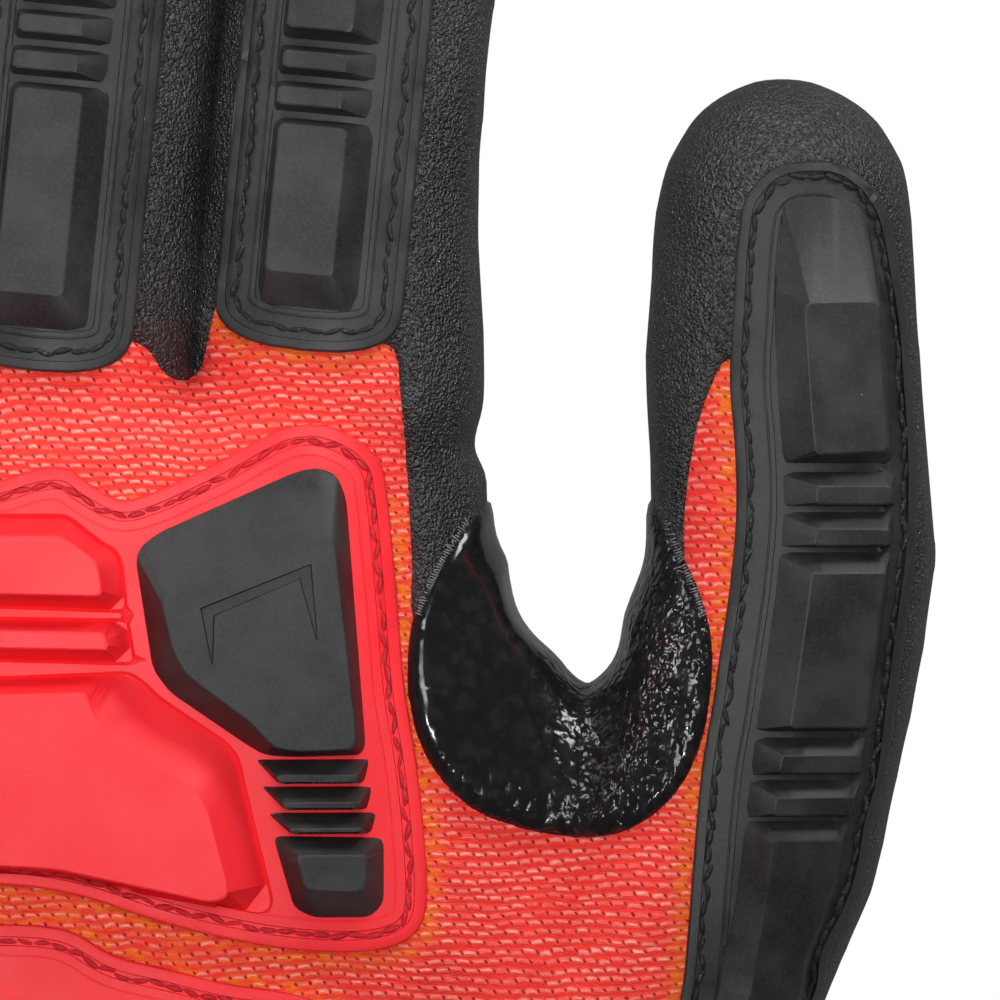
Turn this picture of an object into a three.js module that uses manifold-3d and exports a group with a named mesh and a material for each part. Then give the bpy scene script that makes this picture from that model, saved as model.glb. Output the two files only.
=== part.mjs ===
// Left-hand dipped knit work glove with moulded impact guards on its back.
// Millimetres, +Z up, palm down on z = 0, fingers towards +Y, thumb on the +X side.
// The origin lies on the resting face, under the line that the back plate is symmetric about.
import * as THREE from 'three';
import { mergeVertices } from 'three/addons/utils/BufferGeometryUtils.js';
import Module from 'manifold-3d';

const wasm = await Module();
wasm.setup();

// The hand that the glove is shaped for
const HAND_WIDTH = 100;
const BACK_LENGTH = 100;
const HAND_HEIGHT = 36;
const CUFF_LENGTH = 66;
const FINGER_WIDTH = 25.2;
const FINGER_LENGTH = 98;
const THUMB_WIDTH = 25;

// Layers, from the knit outwards
const KNIT_WALL = 1.6;
const COAT_WALL = 0.8;
const SADDLE_WALL = 1.1;
const LAYER_GAP = 0.3;
const SEAT_GAP = 0.35;

// Moulded guards
const FINGER_GUARD_WIDTH = 18.8;
const FINGER_GUARD_LENGTH = 64;
const THUMB_GUARD_WIDTH = 17.4;
const GUARD_FLANGE = 1.3;
const GUARD_BLOCK_HEIGHT = 3.6;
const PLATE_WALL = 1.6;
const PLATE_BODY_HEIGHT = 4.2;
const PAD_HEIGHT = 4.4;
const RIB_HEIGHT = 3;

// Levels measured outwards from the knit's outer face
const COAT_TOP = LAYER_GAP + COAT_WALL;
const SADDLE_TOP = LAYER_GAP + SADDLE_WALL;
const GUARD_UNDERSIDE = Math.max(COAT_TOP, SADDLE_TOP) + SEAT_GAP;
const GUARD_TOP = GUARD_UNDERSIDE + GUARD_FLANGE;
const PLATE_TOP = SEAT_GAP + PLATE_WALL;
const PAD_UNDERSIDE = PLATE_TOP + LAYER_GAP;

// Roundness of each lofted form's section, its points around and its stretches along
const PALM_MESH = { power: 2.9, sides: 24, steps: 9 };
const FINGER_MESH = { power: 2.3, sides: 12, steps: 5 };
const THUMB_MESH = { power: 2.3, sides: 14, steps: 9 };
const WEB_MESH = { power: 2.4, sides: 10, steps: 9 };
const DOME_POWER = 2.1;
const DOME_SHARES = [0.45, 0.8, 0.98];

// Rounded ends of the guards' outlines
const GUARD_END = 5;
const END_POWER = 2.6;
const END_SHARES = [0, 0.35, 0.62, 0.84, 0.96];
const STRIP_SHARES = [0.25, 0.5, 0.75];

// How far cutting bodies run past what they cut, and the coat's clearance round the saddle
const OVERRUN = 4;
const CUT_HEIGHT = 2 * HAND_HEIGHT;
const SADDLE_CLEARANCE = 1.6 * LAYER_GAP;

// Shares of the hand's width (shift, half), of its height (top, bottom)
// and, in along, of the cuff below the wrist
const WRIST = -0.62;
const CUFF_ROWS = [
  { along: -1.0, shift: 0.02, half: 0.4, top: 0.9, bottom: -0.03 },
  { along: -0.55, shift: 0.02, half: 0.385, top: 0.9, bottom: -0.03 },
  { along: -0.25, shift: 0.02, half: 0.382, top: 0.92, bottom: -0.05 },
];

// Shares as above, with along as a share of the back's length
const PALM_ROWS = [
  { along: WRIST, shift: 0.03, half: 0.415, top: 0.96, bottom: -0.07 },
  { along: -0.38, shift: 0.01, half: 0.475, top: 1.0, bottom: -0.07 },
  { along: -0.1, shift: -0.015, half: 0.51, top: 1.01, bottom: -0.07 },
  { along: 0.2, shift: -0.035, half: 0.527, top: 1.01, bottom: -0.07 },
  { along: 0.38, shift: -0.042, half: 0.53, top: 0.99, bottom: -0.05 },
];
const PALM_DOME = 0.11;

// Shares of the finger's length (along), its width (shift), half its width (half)
// and the hand's height (top, bottom)
const FINGER_ROWS = [
  { along: 0, shift: 0, half: 0.9, top: 0.85, bottom: 0.13 },
  { along: 0.12, shift: 0.01, half: 1.07, top: 0.93, bottom: 0.1 },
  { along: 0.27, shift: 0.01, half: 1.0, top: 0.89, bottom: 0.15 },
  { along: 0.46, shift: -0.015, half: 0.97, top: 0.82, bottom: 0.15 },
  { along: 0.64, shift: 0, half: 0.96, top: 0.73, bottom: 0.09 },
  { along: 0.82, shift: 0, half: 0.95, top: 0.63, bottom: 0.02 },
  { along: 0.89, shift: 0, half: 0.91, top: 0.58, bottom: -0.02 },
];
const FINGER_DOME = 0.11;

// Root of each finger in shares of the hand, its heading in degrees towards the thumb,
// its breadth and length as shares of the finger sizes, and where its guard starts and sits
const FINGERS = [
  { name: 'index', x: 0.322, y: 0.3, heading: 5.5, breadth: 1.0, reach: 0.918, start: 0.207, aside: -0.1 },
  { name: 'middle', x: 0.042, y: 0.3, heading: 5.5, breadth: 1.0, reach: 1.0, start: 0.187, aside: -0.05 },
  { name: 'ring', x: -0.218, y: 0.29, heading: 0.5, breadth: 0.96, reach: 0.929, start: 0.184, aside: 0 },
  { name: 'little', x: -0.453, y: 0.22, heading: -6, breadth: 0.87, reach: 0.776, start: 0.204, aside: 0.03 },
];

// Shares of the back's length (along), the hand's width (shift), half the thumb's width (half)
// and the hand's height
const THUMB_ROWS = [
  { along: -0.84, shift: 0.22, half: 1.12, top: 0.78, bottom: 0.15 },
  { along: -0.6, shift: 0.355, half: 1.46, top: 0.84, bottom: 0.08 },
  { along: -0.4, shift: 0.47, half: 1.56, top: 0.87, bottom: 0.05 },
  { along: -0.2, shift: 0.612, half: 1.56, top: 0.91, bottom: 0.04 },
  { along: 0, shift: 0.715, half: 1.38, top: 0.93, bottom: 0.04 },
  { along: 0.16, shift: 0.767, half: 1.17, top: 0.91, bottom: 0.07 },
  { along: 0.27, shift: 0.798, half: 1.07, top: 0.88, bottom: 0.08 },
  { along: 0.37, shift: 0.806, half: 1.02, top: 0.84, bottom: 0.08 },
  { along: 0.47, shift: 0.795, half: 1.02, top: 0.8, bottom: 0.07 },
  { along: 0.62, shift: 0.793, half: 0.96, top: 0.71, bottom: 0.01 },
];
const THUMB_DOME = 0.143;

// The web between thumb and forefinger, row by row across the hand: along is a share of the
// hand's width, near and far are its ends as shares of the back's length
const WEB_ROWS = [
  { along: 0.36, near: -0.36, far: 0.41, top: 0.9, bottom: 0.12 },
  { along: 0.42, near: -0.34, far: 0.4, top: 0.89, bottom: 0.12 },
  { along: 0.49, near: -0.3, far: 0.325, top: 0.84, bottom: 0.13 },
  { along: 0.53, near: -0.26, far: 0.244, top: 0.82, bottom: 0.14 },
  { along: 0.57, near: -0.22, far: 0.174, top: 0.8, bottom: 0.14 },
  { along: 0.6, near: -0.2, far: 0.155, top: 0.8, bottom: 0.14 },
  { along: 0.635, near: -0.17, far: 0.2, top: 0.81, bottom: 0.13 },
  { along: 0.66, near: -0.14, far: 0.27, top: 0.82, bottom: 0.12 },
  { along: 0.72, near: -0.08, far: 0.37, top: 0.8, bottom: 0.12 },
];

// Outlines seen from above, x as a share of the hand's width and y of the back's length
const WINDOW_OUTLINE = [
  { x: 0.41, y: 0.465 }, { x: 0.405, y: 0.51 }, { x: 0.32, y: 0.535 }, { x: 0.225, y: 0.555 },
  { x: 0.188, y: 0.475 }, { x: 0.155, y: 0.505 }, { x: 0.05, y: 0.52 }, { x: -0.045, y: 0.51 },
  { x: -0.08, y: 0.46 }, { x: -0.12, y: 0.5 }, { x: -0.22, y: 0.5 }, { x: -0.3, y: 0.48 },
  { x: -0.34, y: 0.45 }, { x: -0.39, y: 0.455 }, { x: -0.46, y: 0.44 }, { x: -0.505, y: 0.39 },
  { x: -0.515, y: 0.3 }, { x: -0.51, y: 0.1 }, { x: -0.49, y: -0.15 }, { x: -0.45, y: -0.4 },
  { x: -0.39, y: -0.62 }, { x: -0.38, y: -0.8 }, { x: 0.43, y: -0.8 }, { x: 0.5, y: -0.62 },
  { x: 0.62, y: -0.4 }, { x: 0.72, y: -0.2 }, { x: 0.77, y: 0 }, { x: 0.79, y: 0.2 },
  { x: 0.79, y: 0.38 }, { x: 0.762, y: 0.47 }, { x: 0.737, y: 0.495 }, { x: 0.722, y: 0.47 },
  { x: 0.708, y: 0.43 }, { x: 0.699, y: 0.38 }, { x: 0.694, y: 0.33 }, { x: 0.697, y: 0.28 },
  { x: 0.71, y: 0.22 }, { x: 0.68, y: 0.1 }, { x: 0.6, y: 0.06 }, { x: 0.5, y: 0.1 },
  { x: 0.46, y: 0.2 }, { x: 0.425, y: 0.235 }, { x: 0.424, y: 0.29 }, { x: 0.42, y: 0.36 },
  { x: 0.415, y: 0.42 },
];
const SADDLE_OUTLINE = [
  { x: 0.53, y: 0.4 }, { x: 0.485, y: 0.352 }, { x: 0.462, y: 0.305 }, { x: 0.438, y: 0.262 },
  { x: 0.427, y: 0.22 }, { x: 0.426, y: 0.165 }, { x: 0.442, y: 0.105 }, { x: 0.487, y: 0.052 },
  { x: 0.565, y: 0.022 }, { x: 0.645, y: 0.028 }, { x: 0.69, y: 0.075 }, { x: 0.712, y: 0.145 },
  { x: 0.714, y: 0.21 }, { x: 0.704, y: 0.265 }, { x: 0.682, y: 0.325 }, { x: 0.665, y: 0.37 },
  { x: 0.64, y: 0.42 },
];
const PLATE_OUTLINE = [
  { x: 0, y: 0.372 }, { x: 0.08, y: 0.386 }, { x: 0.104, y: 0.37 }, { x: 0.138, y: 0.354 },
  { x: 0.204, y: 0.38 }, { x: 0.27, y: 0.41 }, { x: 0.308, y: 0.43 }, { x: 0.338, y: 0.43 },
  { x: 0.37, y: 0.412 }, { x: 0.396, y: 0.379 }, { x: 0.401, y: 0.34 }, { x: 0.407, y: 0.264 },
  { x: 0.413, y: 0.168 }, { x: 0.426, y: 0.091 }, { x: 0.435, y: 0.015 }, { x: 0.436, y: -0.045 },
  { x: 0.427, y: -0.073 }, { x: 0.408, y: -0.088 }, { x: 0.38, y: -0.094 }, { x: 0.31, y: -0.092 },
  { x: 0.24, y: -0.081 }, { x: 0.16, y: -0.06 }, { x: 0.08, y: -0.033 }, { x: 0, y: -0.028 },
];
const WRIST_GUARD_OUTLINE = [
  { x: 0, y: -0.066 }, { x: 0.08, y: -0.072 }, { x: 0.127, y: -0.097 }, { x: 0.185, y: -0.112 },
  { x: 0.242, y: -0.126 }, { x: 0.29, y: -0.133 }, { x: 0.325, y: -0.143 }, { x: 0.345, y: -0.165 },
  { x: 0.345, y: -0.3 }, { x: 0.325, y: -0.355 }, { x: 0.28, y: -0.385 }, { x: 0.14, y: -0.4 },
  { x: 0, y: -0.404 },
];

// Raised forms on the plate: the foot's outline and, in the same order, the flat top's outline
const BODY_FOOT = [
  { x: 0, y: 0.173 }, { x: 0.148, y: 0.181 }, { x: 0.162, y: 0.165 }, { x: 0.234, y: 0.113 },
  { x: 0.248, y: 0.098 }, { x: 0.254, y: 0.069 }, { x: 0.279, y: -0.04 }, { x: 0.274, y: -0.052 },
  { x: 0.242, y: -0.049 }, { x: 0.146, y: -0.03 }, { x: 0, y: -0.012 },
];
const BODY_TOP = [
  { x: 0, y: 0.16 }, { x: 0.102, y: 0.165 }, { x: 0.112, y: 0.14 }, { x: 0.185, y: 0.085 },
  { x: 0.208, y: 0.069 }, { x: 0.221, y: 0.05 }, { x: 0.241, y: -0.026 }, { x: 0.236, y: -0.042 },
  { x: 0.223, y: -0.044 }, { x: 0.14, y: -0.022 }, { x: 0, y: -0.004 },
];
const CROWN_FOOT = [
  { x: 0, y: 0.337 }, { x: 0.08, y: 0.337 }, { x: 0.114, y: 0.311 }, { x: 0.133, y: 0.29 },
  { x: 0.138, y: 0.246 }, { x: 0, y: 0.251 },
];
const CROWN_TOP = [
  { x: 0, y: 0.32 }, { x: 0.075, y: 0.32 }, { x: 0.1, y: 0.302 }, { x: 0.113, y: 0.285 },
  { x: 0.117, y: 0.259 }, { x: 0, y: 0.262 },
];
const BRIDGE_FOOT = [
  { x: 0, y: 0.236 }, { x: 0.139, y: 0.234 }, { x: 0.146, y: 0.194 }, { x: 0, y: 0.198 },
];
const BRIDGE_TOP = [
  { x: 0, y: 0.226 }, { x: 0.118, y: 0.224 }, { x: 0.123, y: 0.206 }, { x: 0, y: 0.208 },
];
const KNUCKLE_FOOT = [
  { x: 0.148, y: 0.296 }, { x: 0.153, y: 0.309 }, { x: 0.171, y: 0.323 }, { x: 0.308, y: 0.384 },
  { x: 0.33, y: 0.388 }, { x: 0.349, y: 0.38 }, { x: 0.358, y: 0.355 }, { x: 0.377, y: 0.111 },
  { x: 0.372, y: 0.101 }, { x: 0.308, y: 0.099 }, { x: 0.276, y: 0.101 }, { x: 0.255, y: 0.114 },
  { x: 0.182, y: 0.164 }, { x: 0.165, y: 0.187 },
];
const KNUCKLE_TOP = [
  { x: 0.175, y: 0.254 }, { x: 0.178, y: 0.258 }, { x: 0.19, y: 0.262 }, { x: 0.325, y: 0.318 },
  { x: 0.335, y: 0.321 }, { x: 0.343, y: 0.32 }, { x: 0.347, y: 0.31 }, { x: 0.368, y: 0.117 },
  { x: 0.364, y: 0.11 }, { x: 0.308, y: 0.109 }, { x: 0.285, y: 0.111 }, { x: 0.265, y: 0.132 },
  { x: 0.197, y: 0.183 }, { x: 0.184, y: 0.21 },
];
const TAIL_FOOT = [
  { x: 0.284, y: 0.019 }, { x: 0.395, y: 0.018 }, { x: 0.395, y: -0.046 }, { x: 0.381, y: -0.06 },
  { x: 0.324, y: -0.06 }, { x: 0.305, y: -0.05 },
];
const TAIL_TOP = [
  { x: 0.308, y: 0.003 }, { x: 0.379, y: 0.003 }, { x: 0.377, y: -0.03 }, { x: 0.37, y: -0.035 },
  { x: 0.322, y: -0.033 }, { x: 0.316, y: -0.029 },
];

// Ribs between knuckle pad and tail pad: the first one's ends, and the step to the next
const RIB_COUNT = 3;
const RIB_STEP = 0.027;
const RIB = { left: 0.268, right: 0.38, high: 0.096, low: 0.077, lean: 0.012, bevel: 0.006 };
const RIB_SHIFT = 0.005;

// Blocks along a finger guard, as shares of its length from the lower end,
// and across as shares of half its width; rise is a share of the block height
const FINGER_BLOCKS = [
  { from: 0.068, to: 0.366, left: -0.56, right: 0.6, rise: 1, start: 0.05, end: 0.012 },
  { from: 0.374, to: 0.426, left: -0.56, right: 0.6, rise: 0.8, start: 0.008, end: 0.012 },
  { from: 0.434, to: 0.486, left: -0.56, right: 0.6, rise: 0.8, start: 0.008, end: 0.012 },
  { from: 0.494, to: 0.69, left: -0.56, right: 0.6, rise: 1, start: 0.012, end: 0.012 },
  { from: 0.698, to: 0.75, left: -0.54, right: 0.58, rise: 0.8, start: 0.008, end: 0.012 },
  { from: 0.758, to: 0.92, left: -0.5, right: 0.54, rise: 0.85, start: 0.012, end: 0.06 },
];
const BLOCK_BEVEL = { left: 0.1, right: 0.24 };

// Thumb guard: its centre line and half breadth from the tip down, then its blocks
const THUMB_GUARD_ROWS = [
  { along: 0.695, shift: 0.819, half: 0.8 },
  { along: 0.64, shift: 0.824, half: 0.84 },
  { along: 0.58, shift: 0.827, half: 0.95 },
  { along: 0.5, shift: 0.829, half: 0.99 },
  { along: 0.4, shift: 0.832, half: 1.02 },
  { along: 0.3, shift: 0.834, half: 1.03 },
  { along: 0.2, shift: 0.821, half: 1.03 },
  { along: 0.1, shift: 0.805, half: 1.03 },
  { along: 0, shift: 0.788, half: 1.01 },
  { along: -0.08, shift: 0.767, half: 0.96 },
  { along: -0.16, shift: 0.74, half: 0.9 },
  { along: -0.28, shift: 0.682, half: 0.84 },
];
const THUMB_BLOCKS = [
  { from: 0.66, to: 0.56, left: -0.56, right: 0.56, rise: 0.75, start: 0.03, end: -0.005 },
  { from: 0.565, to: 0.395, left: -0.6, right: 0.6, rise: 1, start: 0.02, end: 0.004 },
  { from: 0.386, to: 0.348, left: -0.6, right: 0.62, rise: 0.8, start: 0.008, end: 0.006 },
  { from: 0.342, to: 0.305, left: -0.6, right: 0.62, rise: 0.8, start: 0.008, end: 0.006 },
  { from: 0.3, to: 0.12, left: -0.6, right: 0.62, rise: 1, start: 0.01, end: 0.004 },
  { from: 0.116, to: 0.082, left: -0.58, right: 0.62, rise: 0.8, start: 0.008, end: 0.005 },
  { from: 0.076, to: 0.04, left: -0.58, right: 0.62, rise: 0.8, start: 0.008, end: 0.005 },
  { from: 0.036, to: -0.2, left: -0.56, right: 0.58, rise: 1, start: 0.01, end: 0.03 },
];
const THUMB_BEVEL = { left: 0.3, right: 0.06 };

// Bars of the wrist guard, as shares of the back's length and the hand's width
const WRIST_BARS = [
  { from: -0.165, to: -0.215, half: 0.26 },
  { from: -0.235, to: -0.285, half: 0.26 },
  { from: -0.305, to: -0.35, half: 0.22 },
];
const BAR_BEVEL = 0.012;
const BAR_HEIGHT = 3;

const RED = { color: 0xe0342f, roughness: 0.55, metalness: 0 };
const BLACK = { color: 0x2c2c2e, roughness: 0.6, metalness: 0 };
const KNIT = { color: 0xd8564a, roughness: 0.9, metalness: 0 };
const SANDY = { color: 0x1d1f21, roughness: 0.85, metalness: 0 };
const GLOSSY = { color: 0x141516, roughness: 0.25, metalness: 0 };

const scaled = (outline) => outline.map(({ x, y }) => [x * HAND_WIDTH, y * BACK_LENGTH]);
const mirrored = (points) => points.map(([x, y]) => [-x, y]).reverse();
const bothSides = (outline) => {
  const right = scaled(outline);
  return [...right, ...mirrored(right.slice(1, -1))];
};
const floorAt = (grow) => Math.max(0, COAT_TOP - grow);
const signedPower = (value, power) => Math.sign(value) * Math.abs(value) ** power;
const roundOff = (share, power) => (1 - Math.min(Math.abs(share), 1) ** power) ** (1 / power);

// Smooth value of one column of a table between its rows
function columnAt(rows, column, along) {
  const rising = rows.at(-1).along > rows[0].along;
  const table = rising ? rows : [...rows].reverse();
  const last = table.length - 1;
  if (along <= table[0].along) {
    return table[0][column];
  }
  if (along >= table[last].along) {
    return table[last][column];
  }
  const i = table.findIndex((row) => row.along > along) - 1;
  const [a, b] = [table[i], table[i + 1]];
  const [before, after] = [table[Math.max(i - 1, 0)], table[Math.min(i + 2, last)]];
  const gap = b.along - a.along;
  const slopeA = (b[column] - before[column]) / (b.along - before.along) * gap;
  const slopeB = (after[column] - a[column]) / (after.along - a.along) * gap;
  const t = (along - a.along) / gap;
  const keep = 2 * t ** 3 - 3 * t ** 2 + 1;
  return keep * a[column] + (t ** 3 - 2 * t ** 2 + t) * slopeA
    + (1 - keep) * b[column] + (t ** 3 - t ** 2) * slopeB;
}

// A form's section: sideways shift, half breadth, mid height and half height, grown by a level
function sectionAt(form, along, grow) {
  const value = (column) => columnAt(form.rows, column, along);
  const end = form.rows.at(-1).along;
  const share = form.dome > 0 ? Math.max(0, (along - end) / (form.dome + grow)) : 0;
  const shrink = roundOff(share, DOME_POWER);
  return {
    shift: value('shift'),
    half: shrink * (value('half') + grow),
    middle: (value('top') + value('bottom')) / 2,
    tall: shrink * ((value('top') - value('bottom')) / 2 + grow),
  };
}

// A place along and across a form, in the glove's frame
function placed(form, along, across) {
  const [sine, cosine] = [Math.sin(form.heading), Math.cos(form.heading)];
  return [
    form.origin[0] + along * sine + across * cosine,
    form.origin[1] + along * cosine - across * sine,
  ];
}

function ringAt(form, along, grow) {
  const section = sectionAt(form, along, grow);
  return Array.from({ length: form.sides }, (_, k) => {
    const angle = 2 * Math.PI * k / form.sides;
    const across = section.half * signedPower(Math.cos(angle), 2 / form.power);
    const height = section.tall * signedPower(Math.sin(angle), 2 / form.power);
    const [x, y] = placed(form, along, section.shift + across);
    return [x, y, Math.max(section.middle + height, floorAt(grow))];
  });
}

function solidFrom(geometry) {
  geometry.deleteAttribute('normal');
  geometry.deleteAttribute('uv');
  const merged = mergeVertices(geometry);
  const vertProperties = new Float32Array(merged.attributes.position.array);
  const triVerts = new Uint32Array(merged.index.array);
  return new wasm.Manifold(new wasm.Mesh({ numProp: 3, vertProperties, triVerts }));
}

function solidOf(points, faces) {
  const geometry = new THREE.BufferGeometry();
  geometry.setAttribute('position', new THREE.Float32BufferAttribute(points.flat(), 3));
  geometry.setIndex(faces.flat());
  return solidFrom(geometry);
}

const middleOf = (ring) => ring[0].map((_, axis) => ring.reduce((sum, p) => sum + p[axis], 0) / ring.length);

// A closed skin through rings of equal size, with a point in the middle of each end
function loftSolid(rings) {
  const sides = rings[0].length;
  const points = rings.flat();
  const faces = [];
  for (let row = 0; row + 1 < rings.length; row += 1) {
    for (let k = 0; k < sides; k += 1) {
      const [near, next] = [row * sides + k, row * sides + (k + 1) % sides];
      faces.push([near, near + sides, next + sides], [near, next + sides, next]);
    }
  }
  const first = points.push(middleOf(rings[0])) - 1;
  const final = points.push(middleOf(rings.at(-1))) - 1;
  const tail = (rings.length - 1) * sides;
  for (let k = 0; k < sides; k += 1) {
    faces.push([first, k, (k + 1) % sides], [final, tail + (k + 1) % sides, tail + k]);
  }
  return solidOf(points, faces);
}

function stationsOf(form, grow) {
  const [start, end] = [form.rows[0].along, form.rows.at(-1).along];
  const body = Array.from({ length: form.steps + 1 }, (_, i) => start + (end - start) * i / form.steps);
  const open = form.open && grow < 0 ? [start - OVERRUN] : [];
  const reach = form.dome + grow;
  const tip = form.dome > 0 ? DOME_SHARES.map((share) => end + share * reach) : [];
  return [...open, ...body, ...tip];
}

function formSolid(form, grow) {
  return loftSolid(stationsOf(form, grow).map((along) => ringAt(form, along, grow)));
}

const heightRow = ({ top, bottom }) => ({ top: top * HAND_HEIGHT, bottom: bottom * HAND_HEIGHT });

function palmForm() {
  const wrist = WRIST * BACK_LENGTH;
  const cuff = CUFF_ROWS.map((row) => ({ ...row, along: wrist + row.along * CUFF_LENGTH }));
  const palm = PALM_ROWS.map((row) => ({ ...row, along: row.along * BACK_LENGTH }));
  const rows = [...cuff, ...palm].map((row) => ({
    along: row.along,
    shift: row.shift * HAND_WIDTH,
    half: row.half * HAND_WIDTH,
    ...heightRow(row),
  }));
  return { ...PALM_MESH, rows, origin: [0, 0], heading: 0, dome: PALM_DOME * BACK_LENGTH, open: true };
}

function fingerForm(finger) {
  const length = finger.reach * FINGER_LENGTH;
  const rows = FINGER_ROWS.map((row) => ({
    along: row.along * length,
    shift: row.shift * FINGER_WIDTH,
    half: row.half * finger.breadth * FINGER_WIDTH / 2,
    ...heightRow(row),
  }));
  return {
    ...FINGER_MESH,
    rows,
    origin: [finger.x * HAND_WIDTH, finger.y * BACK_LENGTH],
    heading: THREE.MathUtils.degToRad(finger.heading),
    dome: FINGER_DOME * length,
    open: false,
  };
}

function thumbForm() {
  const rows = THUMB_ROWS.map((row) => ({
    along: row.along * BACK_LENGTH,
    shift: row.shift * HAND_WIDTH,
    half: row.half * THUMB_WIDTH / 2,
    ...heightRow(row),
  }));
  return { ...THUMB_MESH, rows, origin: [0, 0], heading: 0, dome: THUMB_DOME * BACK_LENGTH, open: false };
}

// The web runs across the hand, so its sideways axis points towards the cuff
function webForm() {
  const rows = WEB_ROWS.map((row) => ({
    along: row.along * HAND_WIDTH,
    shift: -(row.far + row.near) * BACK_LENGTH / 2,
    half: (row.far - row.near) * BACK_LENGTH / 2,
    ...heightRow(row),
  }));
  return { ...WEB_MESH, rows, origin: [0, 0], heading: Math.PI / 2, dome: 0, open: false };
}

const fingerForms = FINGERS.map(fingerForm);
const forms = [palmForm(), ...fingerForms, thumbForm(), webForm()];

const handLevels = new Map();
function hand(grow) {
  if (!handLevels.has(grow)) {
    handLevels.set(grow, forms.map((form) => formSolid(form, grow)).reduce((all, one) => all.add(one)));
  }
  return handLevels.get(grow);
}

// Height of the hand's upper face over one place
function topOf(x, y, grow) {
  const heights = forms.map((form) => {
    const [dx, dy] = [x - form.origin[0], y - form.origin[1]];
    const along = dx * Math.sin(form.heading) + dy * Math.cos(form.heading);
    const across = dx * Math.cos(form.heading) - dy * Math.sin(form.heading);
    const inside = along >= form.rows[0].along && along <= form.rows.at(-1).along + form.dome + grow;
    const section = sectionAt(form, along, grow);
    if (!inside || Math.abs(across - section.shift) >= section.half) {
      return 0;
    }
    return section.middle + section.tall * roundOff((across - section.shift) / section.half, form.power);
  });
  return Math.max(...heights);
}

function prism(points, low, high) {
  const shape = new THREE.Shape(points.map(([x, y]) => new THREE.Vector2(x, y)));
  const geometry = new THREE.ExtrudeGeometry(shape, { depth: high - low, bevelEnabled: false });
  geometry.translate(0, 0, low);
  return solidFrom(geometry);
}

// The upper half of the layer between two levels, within an outline
function sheet(points, under, over) {
  return prism(points, HAND_HEIGHT / 2, CUT_HEIGHT).intersect(hand(over)).subtract(hand(under));
}

// A raised form with sloping sides whose foot is sunk into the sheet below it
function raised(foot, top, level, rise) {
  const clockwise = THREE.ShapeUtils.area(foot.map(([x, y]) => ({ x, y }))) < 0;
  const [low, high] = clockwise ? [[...foot].reverse(), [...top].reverse()] : [foot, top];
  const points = [
    ...low.map(([x, y]) => [x, y, topOf(x, y, level)]),
    ...high.map(([x, y]) => [x, y, topOf(x, y, level) + rise]),
  ];
  const count = low.length;
  const corners = low.map(([x, y]) => new THREE.Vector2(x, y));
  const faces = [];
  THREE.ShapeUtils.triangulateShape(corners, []).forEach(([a, b, c]) => {
    faces.push([a, c, b], [a + count, b + count, c + count]);
  });
  for (let k = 0; k < count; k += 1) {
    const next = (k + 1) % count;
    faces.push([k, next, next + count], [k, next + count, k + count]);
  }
  return solidOf(points, faces);
}

// Outline of a guard from the strip that it follows, with rounded ends
function stripOutline(strip) {
  const { first, last, end } = strip;
  const sign = Math.sign(last - first);
  const near = END_SHARES.map((share) => ({ along: first + sign * end * (1 - share), share })).reverse();
  const far = END_SHARES.map((share) => ({ along: last - sign * end * (1 - share), share }));
  const middle = strip.stations.map((along) => ({ along, share: 0 }));
  const places = [...near, ...middle, ...far];
  const edge = (side) => places.map(({ along, share }) => strip.at(along, side * roundOff(share, END_POWER)));
  return [...edge(1), ...edge(-1).reverse()];
}

function blockOn(strip, block, bevel) {
  const { from, to, left, right } = block;
  const sign = Math.sign(to - from);
  const inner = [from + sign * block.start, to - sign * block.end];
  const corner = (along, across) => strip.at(strip.scale(along), across);
  const foot = [corner(from, left), corner(from, right), corner(to, right), corner(to, left)];
  const top = [
    corner(inner[0], left + bevel.left), corner(inner[0], right - bevel.right),
    corner(inner[1], right - bevel.right), corner(inner[1], left + bevel.left),
  ];
  const rise = GUARD_FLANGE / 2 + block.rise * GUARD_BLOCK_HEIGHT;
  return raised(foot, top, GUARD_TOP - GUARD_FLANGE / 2, rise);
}

function guardSolid(strip, blocks, bevel) {
  const flange = sheet(stripOutline(strip), GUARD_UNDERSIDE, GUARD_TOP);
  const whole = blocks.reduce((all, block) => all.add(blockOn(strip, block, bevel)), flange);
  return whole.subtract(hand(GUARD_UNDERSIDE));
}

function fingerStrip(finger, form) {
  const start = finger.start * FINGER_LENGTH;
  const length = FINGER_GUARD_LENGTH * finger.reach;
  const half = FINGER_GUARD_WIDTH * finger.breadth / 2;
  const aside = finger.aside * FINGER_WIDTH;
  const scale = (share) => start + share * length;
  return {
    first: start,
    last: start + length,
    end: GUARD_END,
    stations: STRIP_SHARES.map(scale),
    scale,
    at: (along, across) => placed(form, along, aside + across * half),
  };
}

function thumbStrip() {
  const rows = THUMB_GUARD_ROWS.map((row) => ({
    along: row.along * BACK_LENGTH,
    shift: row.shift * HAND_WIDTH,
    half: row.half * THUMB_GUARD_WIDTH / 2,
  }));
  const at = (along, across) => [
    columnAt(rows, 'shift', along) + across * columnAt(rows, 'half', along), along,
  ];
  return {
    first: rows[0].along,
    last: rows.at(-1).along,
    end: GUARD_END,
    stations: rows.slice(1, -1).map((row) => row.along),
    scale: (share) => share * BACK_LENGTH,
    at,
  };
}

// Pieces
const group = new THREE.Group();

function addPiece(name, solid, look) {
  const { vertProperties, triVerts } = solid.getMesh();
  const geometry = new THREE.BufferGeometry();
  geometry.setAttribute('position', new THREE.BufferAttribute(vertProperties, 3));
  geometry.setIndex(new THREE.BufferAttribute(triVerts, 1));
  geometry.computeVertexNormals();
  const mesh = new THREE.Mesh(geometry, new THREE.MeshStandardMaterial(look));
  mesh.name = name;
  group.add(mesh);
}

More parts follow.
